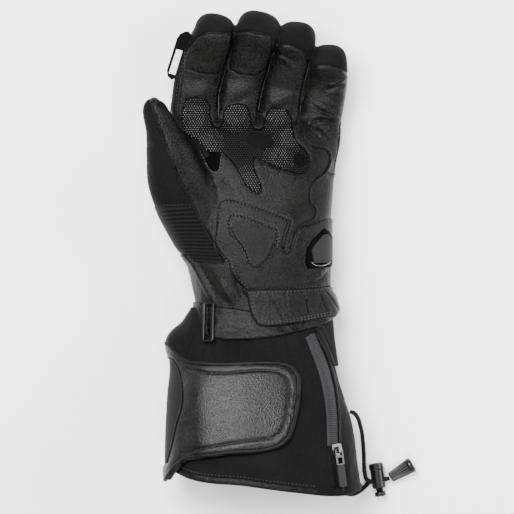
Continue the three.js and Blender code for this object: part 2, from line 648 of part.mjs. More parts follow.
const sliderPlace = surfaceFrame(slider.x, slider.y, slider.heading, 0);
const sliderShape = rectangle(slider.wide, slider.long, slider.corner);
const sliderBlock = plate(sliderShape, -slider.sunk, slider.top + slider.sunk, sliderPlace);
const bridge = { halfLong: 2.2, bar: 1.2, wide: 2.2, rise: 3.4, sunk: 1, corner: 0.5 };
const archHole = { high: 2.4, corner: 0.3, centre: 1 };
const bridgeHigh = bridge.rise + bridge.sunk;
const bridgeCentre = (bridge.rise - bridge.sunk) / 2;
const bridgeShape = rectangle(2 * bridge.halfLong, bridgeHigh, bridge.corner, bridgeCentre);
const archLong = 2 * (bridge.halfLong - bridge.bar);
bridgeShape.holes.push(rectangle(archLong, archHole.high, archHole.corner, archHole.centre));
const [unitX, unitY, unitZ] = [0, 1, 2].map((i) => new THREE.Vector3().setComponent(i, 1));
const bridgeStand = new THREE.Matrix4().makeBasis(unitY, unitZ, unitX);
bridgeStand.setPosition(-bridge.wide / 2, 0, slider.top);
const bridgeArch = plate(bridgeShape, 0, bridge.wide, sliderPlace.clone().multiply(bridgeStand));
const zipUnder = bodyForm({ grow: overTape, from: -160, to: -110 });
piece('zip_slider', largest(sliderBlock.add(bridgeArch).subtract(zipUnder)), zipMetal);

// The pull is a frame with two windows; its top bar is the pin that turns in the bridge.
const pin = { radius: 0.6, height: slider.top + 1.05 };
const pullPlace = sliderPlace.clone().multiply(new THREE.Matrix4().makeTranslation(0, 0, pin.height));
const pullTilt = THREE.MathUtils.degToRad(4.5);
pullPlace.multiply(new THREE.Matrix4().makeRotationX(pullTilt));
const pull = { wide: 6.6, long: 11, thick: 1.2, corner: 1.2 };
const upperWindow = { wide: 4, long: 3.2, corner: 0.4, centre: -2.2 };
const lowerWindow = { wide: 3.6, long: 4.2, corner: 0.5, centre: -7.3 };
const pullShape = rectangle(pull.wide, pull.long, pull.corner, pin.radius - pull.long / 2);
for (const { wide, long, corner, centre } of [upperWindow, lowerWindow]) {
  pullShape.holes.push(rectangle(wide, long, corner, centre));
}
piece('zip_pull', plate(pullShape, -pin.radius, pull.thick, pullPlace), zipMetal);
const tab = { wide: 5.6, long: 14.5, thick: 1.7, corner: 1 };
const tabCentre = pin.radius - pull.long - gap - tab.long / 2;
const tabShape = rectangle(tab.wide, tab.long, tab.corner, tabCentre);
piece('pull_tab', plate(tabShape, -tab.thick / 2, tab.thick, pullPlace), sliderPlastic);

// The draw cord: two legs of elastic that leave the cuff, pass a spring lock and end in a ribbed bell

const lockAxis = new THREE.Vector3(3, -19.5, 0).normalize();
const lockStart = new THREE.Vector3(85, -145.5, 5.3);
const lockRadius = 4.6;
const lockLength = 17.5;
const lockCollar = { radius: 5, long: 4.6 };
const slotAt = 12.1;
const slotSize = { along: 3.7, high: 7.1 };
const bore = { radius: 2.75, from: 14.6 };
const button = { shaft: 2.4, head: 3.9, shaftFrom: 16.9, headFrom: 20, headLong: 3.2 };

// A round bar along the lock's axis, between two distances from its start.
function lockBar(radius, from, to, sides = 12) {
  const geometry = new THREE.CylinderGeometry(radius, radius, to - from, sides, 1);
  const turn = new THREE.Quaternion().setFromUnitVectors(new THREE.Vector3(0, 1, 0), lockAxis);
  const centre = lockStart.clone().addScaledVector(lockAxis, (from + to) / 2);
  geometry.applyMatrix4(new THREE.Matrix4().compose(centre, turn, new THREE.Vector3(1, 1, 1)));
  return solidOf(geometry);
}

const slotBlock = new THREE.BoxGeometry(slotSize.along, 20, slotSize.high);
slotBlock.applyMatrix4(
  new THREE.Matrix4()
    .makeBasis(lockAxis, new THREE.Vector3(-lockAxis.y, lockAxis.x, 0), new THREE.Vector3(0, 0, 1))
    .setPosition(lockStart.clone().addScaledVector(lockAxis, slotAt)),
);
// A point in the slot: across it from the lock's axis, at a height.
const slotPoint = (across, height) => [
  lockStart.x + lockAxis.x * slotAt - lockAxis.y * across,
  lockStart.y + lockAxis.y * slotAt + lockAxis.x * across,
  height,
];
const lockBody = lockBar(lockRadius, 0, lockLength).add(lockBar(lockCollar.radius, 0, lockCollar.long));
const lockBored = lockBody.subtract(lockBar(bore.radius, bore.from, lockLength + 1));
piece('cord_lock', lockBored.subtract(solidOf(slotBlock)), lockPlastic);
const buttonHead = lockBar(button.head, button.headFrom, button.headFrom + button.headLong);
const buttonShaft = lockBar(button.shaft, button.shaftFrom, button.headFrom + 0.5, 10);
piece('lock_button', buttonHead.add(buttonShaft), lockPlastic);

const bell = { heading: 31, height: 5.2, start: 3.6, end: 5.2, long: 15.5, cap: 3 };
const bellStart = new THREE.Vector3(...slotPoint(8.4, bell.height)).add(new THREE.Vector3(0, 0.6, 0));
const bellTurn = THREE.MathUtils.degToRad(bell.heading);
const bellAxis = new THREE.Vector3(Math.cos(bellTurn), Math.sin(bellTurn), 0.03).normalize();
const bellRidges = 16;
const bellGeometry = new THREE.CylinderGeometry(bell.end, bell.start, bell.long, bellRidges, 1);
reshaped(bellGeometry, (p) => {
  const ridge = Math.round((Math.atan2(p.z, p.x) / (2 * Math.PI)) * bellRidges);
  const shrink = Math.abs(ridge) % 2 === 1 ? 0.9 : 1;
  return new THREE.Vector3(p.x * shrink, p.y + bell.long / 2, p.z * shrink);
});
const bellCap = new THREE.CylinderGeometry(bell.end * 0.86, bell.end + 0.25, bell.cap, bellRidges, 1);
bellCap.translate(0, bell.long + bell.cap / 2 - 0.4, 0);
const bellMatrix = new THREE.Matrix4().compose(
  bellStart,
  new THREE.Quaternion().setFromUnitVectors(new THREE.Vector3(0, 1, 0), bellAxis),
  new THREE.Vector3(1, 1, 1),
);
const bellSolid = solidOf(bellGeometry.applyMatrix4(bellMatrix));
piece('cord_end', bellSolid.add(solidOf(bellCap.applyMatrix4(bellMatrix))), lockPlastic);

// Each leg's route, from where it leaves the cuff to the bell. The upper leg leaves the cuff's side,
// and the lower one its bound edge.
const bellFace = (height) => [bellStart.x - bellAxis.x * 0.6, bellStart.y - bellAxis.y * 0.6, height];
const upperCordRoute = [
  [66.8, -109, 37.5], [69.4, -110, 37.1], [72.2, -113.6, 34], [74, -119, 28.6], [75.4, -125, 21],
  [76.2, -131.5, 14], [76.8, -139, 9.4], [77, -146, 7.6], [77.4, -152, 7.1], [78.8, -156.6, 7],
  slotPoint(-5, 7), slotPoint(0, 7), slotPoint(4.8, 7), bellFace(7),
];
const lowerCordRoute = [
  [62.6, -162.3, 17.8], [63.6, -165, 16.6], [66.6, -166.6, 10.8], [69.8, -166.9, 5.6], [72.6, -166, 2.7],
  [75.6, -164, 1.9], [78.5, -161.2, 2.4], slotPoint(-5, 3.5), slotPoint(0, 3.5), slotPoint(4.8, 3.5),
  bellFace(3.5),
];
const cordSection = new THREE.Shape(
  Array.from({ length: 8 }, (_, i) => {
    const angle = ((i + 0.5) * Math.PI) / 4;
    return new THREE.Vector2(cordRadius * Math.cos(angle), cordRadius * Math.sin(angle));
  }),
);
const cord = (route, steps) => {
  const extrudePath = new THREE.CatmullRomCurve3(route.map(([x, y, z]) => new THREE.Vector3(x, y, z)));
  return solidOf(new THREE.ExtrudeGeometry(cordSection, { steps, extrudePath }));
};
piece('draw_cord_upper', cord(upperCordRoute, 12), cordBraid);
piece('draw_cord_lower', cord(lowerCordRoute, 9), cordBraid);

// The origin is under the middle of the glove, at the height that its back rests on.
glove.position.set(-0.4, 0.9, 0);

export default glove;
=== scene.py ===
import math

import bmesh
import bpy
import numpy as np
from mathutils import Matrix, Vector
from mathutils.bvhtree import BVHTree


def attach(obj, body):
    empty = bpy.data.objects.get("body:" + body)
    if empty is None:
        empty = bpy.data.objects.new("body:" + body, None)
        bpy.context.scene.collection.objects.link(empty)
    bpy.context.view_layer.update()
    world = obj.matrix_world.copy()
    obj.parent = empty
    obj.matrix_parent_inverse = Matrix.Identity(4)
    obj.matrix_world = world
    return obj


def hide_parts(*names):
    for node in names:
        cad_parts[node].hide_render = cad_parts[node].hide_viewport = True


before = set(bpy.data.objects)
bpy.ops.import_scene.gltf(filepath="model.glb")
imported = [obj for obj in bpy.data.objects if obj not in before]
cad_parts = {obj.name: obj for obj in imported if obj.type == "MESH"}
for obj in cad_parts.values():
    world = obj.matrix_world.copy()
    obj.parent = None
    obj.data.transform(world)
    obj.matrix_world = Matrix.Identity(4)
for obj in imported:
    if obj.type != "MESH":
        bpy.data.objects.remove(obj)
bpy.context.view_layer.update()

# Pieces are shaped in millimetres: X from the thumb to the little finger, Y towards the fingertips,
# Z out of the palm. finishPiece moves them by originShift and scales them to metres.
originShift = Vector((-0.4, 0.9, 0.0))
millimetre = 0.001

bodyTable = {  # the hand and cuff in section: edges, flat underside and crown
    "y": [-164, -142, -121, -101, -81, -64, -47, -33, -23, -9, 8, 25, 42, 62, 79, 91],
    "left": [-57, -56.5, -55.5, -53, -49, -44, -39.5, -38.5, -41, -44, -47, -50, -52, -54.5, -56, -56.5],
    "right": [75, 72.2, 68.7, 63.5, 58, 55.2, 53.6, 52.8, 52.5, 53, 53.2, 54, 55.2, 57.5, 60.5, 61],
    "low": [2.2, 2.2, 2.2, 2.4, 3, 4, 5, 4.5, 3, 1, 0, 0, 0, 0, 0, 1.5],
    "high": [82, 80, 77, 72, 66, 60, 55, 54, 55, 56, 56, 54, 51, 46.5, 40, 34.5],
}
flapTable = {  # the closing flap's outer face, in section
    "y": [-160, -125, -95, -78, -62],
    "left": [-60.5, -60, -58.5, -57, -59.5],
    "right": [78, 73, 67, 64, 61],
    "low": [3, 3, 3, 3, 3],
    "high": [85, 80.8, 73.9, 69, 64.5],
}
digitTable = {  # centre line, half-width and half-depth of each digit
    "index": {
        "x": [-40, -40.2, -36.8, -32.4, -28.6, -26, -24],
        "y": [79, 96, 118.7, 131, 141, 148, 157.5],
        "z": [18, 18.5, 22.5, 27.5, 34, 40, 49],
        "wide": [16.2, 16, 15.8, 15.8, 15.2, 14.2, 14.2],
        "deep": [14.8, 14.8, 14.2, 13.8, 13.4, 12.8, 12.8],
    },
    "middle": {
        "x": [-10.2, -9.9, -6.1, -2.2, 1.4, 3.8, 6.4],
        "y": [79, 96, 118.7, 131, 143, 150, 158.6],
        "z": [18, 18.5, 22, 27, 34.5, 41, 49.5],
        "wide": [13.8, 14.2, 14.6, 14.6, 14.9, 15, 15],
        "deep": [14.8, 14.6, 14.2, 13.8, 13.4, 13, 13],
    },
    "ring": {
        "x": [18.4, 18.8, 22.8, 26, 28.6, 29.9, 30.8],
        "y": [79, 96, 115, 126, 136, 143, 151.8],
        "z": [18, 18.5, 22, 26.5, 32.5, 38.5, 47.5],
        "wide": [13.7, 14, 14.1, 13.9, 13.6, 13.2, 13.2],
        "deep": [14.4, 14.2, 13.8, 13.4, 13, 12.4, 12.4],
    },
    "little": {
        "x": [46.6, 47.6, 50, 51.4, 52, 52, 51.6],
        "y": [79, 95, 110, 118, 124, 129, 137],
        "z": [18, 19, 22, 25.5, 29.5, 34, 42],
        "wide": [13.6, 14, 14, 13.7, 13.2, 12.6, 12.6],
        "deep": [13.6, 13.4, 12.8, 12.4, 12, 11.6, 11.6],
    },
    "thumb": {
        "square": 2.4,
        "blunt": 2.0,
        "x": [-24, -30, -38, -45, -51, -56.6, -62.4, -69.2],
        "y": [-10, 5, 20, 35, 50, 69, 87, 104],
        "z": [28, 31, 34, 38, 43, 49.5, 54.5, 58],
        "wide": [17, 20, 21, 21.4, 20.2, 15.6, 10.4, 10.4],
        "deep": [14, 17, 18, 17.5, 16.5, 14, 10, 10],
    },
}
squareness = 2.4  # of the hand and cuff section, where 2 is an ellipse
sag = 3.0  # how far the round of a section reaches under its flat underside
knuckleLine = 91.0  # Y where the fingers begin
wristSeam = -36.0  # Y where the hand ends inside the cuff
sideSeam = 26.0  # Z of the seam between leather and back cloth

outlines = {  # plan outlines, X and Y
    "leather": [
        (-69.4, -53.4), (-69.4, -3.7), (-46.9, -0.7), (-39.4, -6.5), (-27.2, -7.8), (-19, -7.8),
        (-27.2, 6.5), (-36, 22.1), (-42.2, 35.7), (-49.6, 49.3), (-56.1, 65.6), (-63.2, 84),
        (-68.7, 98.9), (-70, 107.8), (-65.3, 106.4), (-55.8, 96.2), (-50.3, 88.7), (-51.7, 94.2),
        (-52, 97.6), (-49.6, 118.7), (-46.2, 131.6), (-44.2, 139.1), (-38.1, 145.2), (-29.5, 148.9),
        (-12.2, 148.9), (-2, 149.9), (10.5, 147.2), (14.3, 143.1), (16.3, 141.1), (26.5, 139.7),
        (34.7, 135.7), (38.1, 130.9), (39.4, 124.8), (43.5, 126.5), (53, 126.1), (61.2, 123.8),
        (68, 120), (80.2, 116.6), (80.2, -53.4),
    ],
    "grip": [
        (-44.9, 104.4), (-38.1, 105.4), (-31.3, 104.4), (-28.1, 99.8), (-28.9, 94.2), (-27.5, 88.7),
        (-25.2, 85), (-22.8, 84.7), (-20.4, 87), (-19.9, 94.2), (-17.7, 98.6), (-14.6, 100.6),
        (-9.5, 101.5), (-3.7, 100.3), (-1.2, 95.4), (-0.7, 88.6), (1.4, 84.1), (5.4, 83.3), (8.2, 85.3),
        (8.5, 90.1), (10, 95.2), (13.4, 98.6), (19, 98.3), (24.6, 96.6), (27.2, 90.9), (27.9, 83),
        (30.2, 75.1), (35.8, 70), (39.2, 65.6), (39.4, 60.2), (37.4, 54.7), (33.5, 52), (27.9, 53),
        (21.1, 55.4), (14.3, 57.8), (6.8, 61.5), (2.2, 63.6), (1.4, 58.1), (3.7, 51.3), (6.8, 44.5),
        (6.8, 40.5), (4.4, 38.8), (-0.7, 41.1), (-4.6, 44.8), (-6.8, 49.3), (-11.3, 57.2),
        (-15.8, 62.8), (-18.6, 65.6), (-20.2, 66.8), (-27.9, 67.3), (-35.4, 68.3), (-38.8, 72.4),
        (-43.5, 77.9), (-47.6, 84.7), (-48.6, 90.8), (-47.9, 97.6),
    ],
    "gusset": [
        (-36.4, 69.4), (-32, 61.5), (-29.2, 56.1), (-26.9, 54.2), (-23.6, 54.4), (-21.9, 57.2),
        (-21.4, 62.9), (-20.2, 66.6), (-28.6, 69),
    ],
    "heel": [
        (-22.4, 30.9), (-20.7, 34), (-17.7, 35), (-12.2, 34.7), (5.8, 28.9), (26.5, 20.7), (24.8, 15.3),
        (22.4, 9.2), (20.8, 2), (21.8, -0.7), (23.8, -2), (26.5, -0.3), (28.9, 8.5), (32, 16),
        (59.8, 24.8), (59.8, -24.8), (-3.4, -26.5), (-11.7, -19.4), (-15.3, -12.9), (-16, -7.5),
        (-21.4, -1.2), (-25.5, 5.6), (-25, 12.6), (-23.6, 20.1),
    ],
    "insertEdge": [
        (-14.6, 24.8), (-7.5, 24.5), (17, 15), (18, 10.5), (15.6, 3.7), (11.2, -4.1), (5.8, -10.5),
        (1.1, -11.4), (-3.7, -7.8), (-5.1, -0.7), (-10.2, 6.1), (-15.3, 11.6), (-16.1, 20.1),
    ],
    "insert": [
        (-11.9, 20.4), (-4.8, 20.7), (13.4, 14.3), (15.6, 11.8), (14.5, 6.1), (8.8, -5.1), (4.4, -8),
        (0.3, -6.5), (-1.7, -0.7), (-5.1, 6.1), (-10.9, 11.6), (-13.9, 16.3),
    ],
    "pleats": [
        (-76.2, 30.9), (-59.8, 31.6), (-41.1, 32.4), (-36, 22.1), (-27.2, 6.5), (-18.7, -8.5),
        (-27.2, -7.8), (-39.4, -6.5), (-46.9, -0.7), (-76.2, 14.6),
    ],
    "indexPad": [
        (-46.2, 130.2), (-43.5, 139.1), (-38.1, 144.8), (-29.5, 148.4), (-13.6, 148.6), (-16, 135.7),
        (-18.7, 124.8), (-24.5, 120.7), (-35.4, 121.7), (-46.2, 125.8),
    ],
    "middlePad": [
        (-11.6, 148.6), (-2, 149.6), (9.5, 146.9), (13.6, 142.5), (12.6, 132.9), (9.5, 124.8),
        (2.7, 120), (-8.2, 120.7), (-15.3, 124.8), (-13.9, 135.7),
    ],
    "sliderFrame": [
        (35.7, 1.7), (40.1, 8.5), (48.1, 16.3), (51.5, 13.9), (54.1, 9.2), (54.4, -7.1), (52.4, -11.1),
        (36.9, -11.9), (35.2, -7.5),
    ],
    "sliderFace": [
        (39.8, 0.6), (41.6, 4.4), (47.4, 11.7), (51.2, 12.2), (53.4, 8.4), (53.4, -5.8), (51.5, -7.8),
        (41.4, -8.2),
    ],
    "gather": [
        (-4.4, -25.8), (53, -23.8), (66, -23.8), (60.9, -39.1), (56.4, -44.9), (46.2, -46.2),
        (19.7, -50.3), (9.5, -51), (3.4, -49.6), (-0.7, -43.2), (-2.7, -35),
    ],
    "flap": [
        (-76.2, -62.2), (-58.5, -62.2), (-53, -67.7), (-47.6, -73.1), (-42.2, -75.1), (-33.3, -76.5),
        (6.8, -75.8), (19, -76), (25.8, -78.5), (29.9, -83.6), (31.5, -93.5), (27.2, -117.3),
        (24.1, -125.5), (19, -129.9), (12.2, -132.3), (-15, -135), (-32, -137.4), (-47.6, -141.1),
        (-53.7, -145.9), (-57.5, -153.3), (-66, -154.7), (-66, -148.6), (-57.7, -143.5),
        (-54.1, -130.6), (-51.8, -118.9), (-47.9, -106.4), (-46.9, -98.3), (-47.6, -90.1), (-49, -82.6),
        (-53, -74.5), (-59.8, -71.1), (-76.2, -68.3),
    ],
    "sidePanel": [
        (-76.2, -68.3), (-59.8, -69.7), (-53, -73.1), (-48.3, -81.9), (-46.2, -94.2), (-47.3, -104.4),
        (-51, -118.7), (-53.7, -130.2), (-57.8, -143.8), (-66, -148.6), (-76.2, -148.6),
    ],
    "keeper": [
        (-51.7, -30.3), (-44.2, -30.6), (-40.8, -33.7), (-31.3, -35.7), (-29.2, -36), (-29.2, -57.8),
        (-33.3, -56.8), (-38.8, -54.7), (-41.5, -50.7), (-43.5, -45.2), (-51.7, -45.2),
    ],
    "strap": [
        (-27.9, -36.7), (-23.1, -37.4), (-12.9, -38.3), (-3.4, -39.8), (6.8, -41.1), (63.2, -37.1),
        (66.6, -43.9), (56.4, -46.6), (47.6, -50), (36, -53.6), (18.4, -57.5), (0.7, -59.5),
        (-17.7, -60), (-27.9, -58.8),
    ],
    "sideRibs": [
        (42.8, -50.7), (47.6, -46.6), (59.8, -45.2), (63.2, -60.2), (62.6, -77.9), (55.8, -77.9),
        (51.3, -71.1), (47.3, -61.5),
    ],
    "tab": [
        (-42.8, 149.6), (-45.6, 149.6), (-49, 147.9), (-51.1, 145.2), (-58.2, 124.1), (-57.8, 120),
        (-55.1, 117.3), (-52.4, 118.7), (-46.2, 132.9), (-40.8, 146.5),
    ],
    "label": [(-51.5, 138), (-47.2, 136.8), (-52.5, 120.5), (-56.9, 121.9)],
}
paths = {  # seams, pipings and stitch rows in plan
    "indexBand": [(-44.2, 141.1), (-44.9, 132.9), (-48.6, 118.7), (-51, 97.6), (-50.7, 90.8)],
    "indexMiddle": [
        (-12.6, 148.6), (-16.3, 131.6), (-20.7, 116.6), (-22.9, 107.1), (-23.1, 97.6), (-23.1, 90.8),
    ],
    "middleRing": [(14.3, 142.5), (11.6, 126.1), (7.1, 112.5), (4.1, 97.6), (3.4, 88.7)],
    "ringLittle": [(40.8, 137), (38.8, 128.9), (36, 118.7), (33, 103), (31.3, 88.1)],
    "thumbRidge": [
        (-69.4, 103.7), (-64.6, 89.4), (-56.1, 65.6), (-49.6, 49.3), (-42.2, 35.7), (-36, 22.1),
        (-27.2, 6.5), (-20.4, -7.1),
    ],
    "thumbEdge": [
        (-35.7, 68.7), (-32, 61.5), (-29.2, 56.1), (-26.9, 54.1), (-23.6, 54.1), (-21.6, 57.2),
        (-21.1, 62.9), (-20.1, 66.6),
    ],
    "pipingLong": [
        (38.1, 90.8), (35.8, 84.7), (35.8, 79.4), (39.2, 73.8), (44.9, 71.4), (49.6, 70.7), (53, 66.6),
        (53, 60.2), (50, 54.1), (43.2, 47.9), (39.8, 41.1), (40.8, 33), (43.9, 27.5), (42.2, 22.4),
        (34, 17.7), (30.6, 13.3), (28.2, 5.8), (26.5, 0), (24.1, -2), (21.8, -0.7), (20.8, 3.4),
        (22.4, 11.2), (25.2, 20.1),
    ],
    "pipingEnd": [(50, 54.4), (53, 54.1), (56.4, 52.7), (57.8, 51)],
    "heelTop": [
        (-23.8, 22.1), (-22.8, 30.9), (-20.7, 34.3), (-17.7, 35.5), (-12.2, 35), (5.8, 29.4),
        (26.5, 21.1),
    ],
    "heelLeft": [
        (-23.8, 22.1), (-23.8, 11.9), (-24.5, 5.8), (-20.4, -1), (-15, -7.1), (-14.3, -12.6),
        (-10.9, -18.7), (-4.1, -25.5),
    ],
    "wristSeam": [(-3.4, -26.9), (25.8, -25.8), (53.7, -24.1)],
    "insertTop": [
        (-15.6, 13.3), (-16, 20.7), (-14.3, 24.5), (-7.5, 24.1), (5.4, 19.7), (16.3, 15), (18, 11.2),
        (16.3, 4.4),
    ],
    "insertRing": [
        (-14.3, 16.7), (-10.5, 11.2), (-5.4, 5.8), (-2.4, -0.3), (-0.3, -6.8), (4.4, -8.8), (9.2, -5.8),
        (14.8, 5.8),
    ],
    "crescent": [(-13.9, 15.3), (-10.9, 9.2), (-6.8, 3.7), (-3.7, -2.4), (-2, -7.8)],
    "pleatTop": [(-60.5, 32), (-50.3, 31.3), (-41.1, 32.3)],
    "pleatLow": [(-46.9, 0), (-39.4, -5.8), (-27.2, -7.3), (-17.7, -8.2)],
    "gatherLeft": [
        (-0.7, -28.9), (-0.3, -35), (1.4, -41.8), (5.4, -46.9), (10.9, -48.6), (21.1, -47.9),
        (46.2, -44.2), (54.4, -42.5),
    ],
    "gatherTop": [(-2, -27.9), (25.8, -27), (52.4, -25.6)],
    "flapEdge": [
        (-60.5, -60.9), (-57.1, -63.6), (-52.4, -68.7), (-47.6, -72.8), (-42.2, -74.8), (-33.3, -75.8),
        (6.8, -75.3), (19, -75.5), (26.2, -78.2), (30.5, -83.6), (31.3, -93.5), (27.2, -117.3),
        (24, -125.5), (19, -130.1), (12.2, -132.3), (-15, -135.1), (-32, -137.5), (-46.2, -140.9),
        (-52.4, -145.2), (-56.1, -150.3), (-59.2, -154.7),
    ],
    "flapStitch": [
        (-44.9, -79.6), (-32, -81.9), (-19.7, -82.3), (6.8, -80.2), (18.4, -81.3), (24.1, -84.7),
        (25.8, -91.5), (25.5, -100.3), (22.8, -115.3), (19.7, -122.1), (14.3, -125.5), (-1.4, -127.2),
        (-15, -129.2), (-32, -132.3), (-46.9, -136.7),
    ],
    "flapLeft": [
        (-58.5, -71.1), (-53, -74.5), (-49, -82.6), (-47.3, -92.8), (-47.7, -103.7), (-51.7, -118.7),
        (-54.1, -130.6), (-57.5, -143.1),
    ],
    "zip": [
        (39.6, -56.8), (42.8, -64.9), (46.6, -74.5), (51, -89.4), (53.7, -107.1), (54.6, -131.6),
        (55.8, -145.2), (56.8, -158.1),
    ],
    "zipPiping": [
        (43.5, -55.1), (46.9, -62.2), (51, -71.7), (55.6, -88.1), (58.2, -106.4), (59.3, -132.3),
        (60.9, -162.2),
    ],
    "cuffSeamA": [(-40.1, -55.4), (-42.2, -63.6), (-44.2, -69)],
    "cuffSeamB": [(-29.9, -58.8), (-32.6, -67), (-34.7, -74.5)],
}
paths["heelRight"] = paths["pipingLong"][-6:][::-1]  # the piping's lower bend


# Camera, lights and floor

view = {  # straight above; the photo's width is measured at the aim's height
    "photoWidth": 0.3495, "centre": (0.003, -0.0028), "height": 3.2, "aim": 0.045, "sensor": 36.0, "far": 20,
}
studio = {
    "world": 0.72,
    "floor": {"colour": (0.95, 0.95, 0.945, 1), "rough": 0.9, "half": 4},
    "lamps": [
        {"at": (-0.36, 0.42, 1.35), "aim": (0, 0, 0.03), "size": 0.75, "power": 66},
        {"at": (1.05, 0.1, 0.6), "aim": (0, 0, 0.03), "size": 0.35, "power": 14},
        {"at": (-0.7, 0.9, 0.8), "aim": (0, 0, 0.03), "size": 0.45, "power": 5},
        {"at": (0.05, -0.9, 1.1), "aim": (0, 0.05, 0.03), "size": 0.5, "power": 12},
    ],
}


def aimAt(obj, target):
    direction = Vector(target) - obj.location
    obj.rotation_euler = direction.to_track_quat("-Z", "Y").to_euler()


def makeStage():
    camera = bpy.data.objects.new("camera", bpy.data.cameras.new("camera"))
    camera.location = (*view["centre"], view["height"])
    camera.data.sensor_width = view["sensor"]
    camera.data.lens = view["sensor"] * (view["height"] - view["aim"]) / view["photoWidth"]
    camera.data.clip_end = view["far"]
    bpy.context.collection.objects.link(camera)
    bpy.context.scene.camera = camera
    for i, lamp in enumerate(studio["lamps"]):
        data = bpy.data.lights.new(f"lamp_{i}", "AREA")
        data.size = lamp["size"]
        data.energy = lamp["power"]
        light = bpy.data.objects.new(f"lamp_{i}", data)
        light.location = lamp["at"]
        aimAt(light, lamp["aim"])
        bpy.context.collection.objects.link(light)
    world = bpy.data.worlds.new("studio")
    world.use_nodes = True
    background = world.node_tree.nodes["Background"].inputs
    background["Color"].default_value = (1, 1, 1, 1)
    background["Strength"].default_value = studio["world"]
    bpy.context.scene.world = world
    paper = studio["floor"]
    bm = bmesh.new()
    bmesh.ops.create_grid(bm, x_segments=1, y_segments=1, size=paper["half"])
    floor = meshObject("floor", bm)
    Shade("floor_paper", {"Roughness": paper["rough"], "Base Color": paper["colour"]}).put(floor)


# Materials

colourMix = {"factor": 0, "low": 6, "high": 7, "result": 2}  # sockets of a Mix node that mixes colours


class Wire:  # a socket that adds Math nodes when it is used in arithmetic
    def __init__(self, shade, socket):
        self.shade = shade
        self.socket = socket

    def math(self, operation, first, second):
        return self.shade.node("ShaderNodeMath", {"operation": operation}, {0: first, 1: second})

    def __add__(self, other):
        return self.math("ADD", self, other)

    def __radd__(self, other):
        return self.math("ADD", other, self)

    def __sub__(self, other):
        return self.math("SUBTRACT", self, other)

    def __mul__(self, other):
        return self.math("MULTIPLY", self, other)

class Shade:  # one material, built around its Principled shader
    def __init__(self, name, constants=None):
        self.material = bpy.data.materials.new(name)
        self.material.use_nodes = True
        self.tree = self.material.node_tree
        self.shader = self.tree.nodes["Principled BSDF"]
        for key, value in (constants or {}).items():
            self.shader.inputs[key].default_value = value

    def node(self, kind, settings=None, sockets=None, output=0):
        made = self.tree.nodes.new(kind)
        for key, value in (settings or {}).items():
            setattr(made, key, value)
        for key, value in (sockets or {}).items():
            if isinstance(value, Wire):
                self.tree.links.new(value.socket, made.inputs[key])
            else:
                made.inputs[key].default_value = value
        return Wire(self, made.outputs[output])

    def place(self, scale=1.0):
        source = self.node("ShaderNodeTexCoord", output="Object")
        return self.node("ShaderNodeMapping", None, {"Vector": source, "Scale": (scale,) * 3})

    def noise(self, scale, detail):
        sockets = {"Vector": self.place(), "Scale": scale, "Detail": detail}
        return self.node("ShaderNodeTexNoise", None, sockets)

    def mix(self, factor, low, high):
        sockets = {colourMix["factor"]: factor, colourMix["low"]: low, colourMix["high"]: high}
        return self.node("ShaderNodeMix", {"data_type": "RGBA"}, sockets, colourMix["result"])

    def ramp(self, value, low, high):  # value from low to high, spread over 0 to 1
        sockets = {"Value": value, "From Min": low, "From Max": high}
        return self.node("ShaderNodeMapRange", {"clamp": True}, sockets)

    def bump(self, height, distance, strength, under=None):
        sockets = {"Height": height, "Distance": distance, "Strength": strength}
        if under:
            sockets["Normal"] = under
        return self.node("ShaderNodeBump", None, sockets)

    def link(self, name, wire):
        self.tree.links.new(wire.socket, self.shader.inputs[name])

    def put(self, obj):
        obj.data.materials.clear()
        obj.data.materials.append(self.material)


def tinted(level, tint):  # a linear colour of one level, tinted
    return (*(level * share for share in tint), 1)


leatherLooks = {  # colour levels are linear; grain and height, of the pores, in metres
    "leather": dict(dark=0.0003, light=0.0058, rough=0.40, shine=0.085, grain=0.0008, height=0.0004),
    "glossLeather": dict(dark=0.0004, light=0.0055, rough=0.36, shine=0.165, grain=0.0008, height=0.0003),
    "gripLeather": dict(dark=0.0006, light=0.0016, rough=0.55, shine=0.04, grain=0.0009, height=0.0001),
    # the three dot looks below colour one embossed dot as painted highlight, painted half light and painted
    # shade
    "gripDots": dict(dark=0.008, light=0.035, rough=0.3, shine=0.8, grain=0.0009, height=0.00004),
    "halfLitDots": dict(dark=0.005, light=0.018, rough=0.35, shine=0.5, grain=0.0009, height=0.00004),
    "shadedFaintDots": dict(dark=0.0025, light=0.008, rough=0.4, shine=0.2, grain=0.0009, height=0.00004),
    "strapLeather": dict(dark=0.0006, light=0.0075, rough=0.40, shine=0.07, grain=0.0009, height=0.0003),
    # this edge leather is the leather made lighter, as a painted highlight on the raised edges between the
    # fingers
    "highlitEdgeLeather": dict(dark=0.003, light=0.008, rough=0.36, shine=0.25, grain=0.0009, height=0.00004),
}

leatherNoise = {  # shared by all leathers
    "mottle": {"scale": 55, "detail": 3, "tone": 0.3, "rough": 0.16},
    "fine": {"scale": 700, "detail": 2, "tone": 0.7, "rough": 0.12, "bump": 0.8},
    "creases": {"scale": 150, "detail": 3, "height": 0.0004, "strength": 0.08},
    "toneRange": (0.38, 0.62),
    "cells": 0.6,
    "strength": 0.8,
    "warm": (1.04, 1, 0.95),
    "cold": (1, 1, 1.02),
}


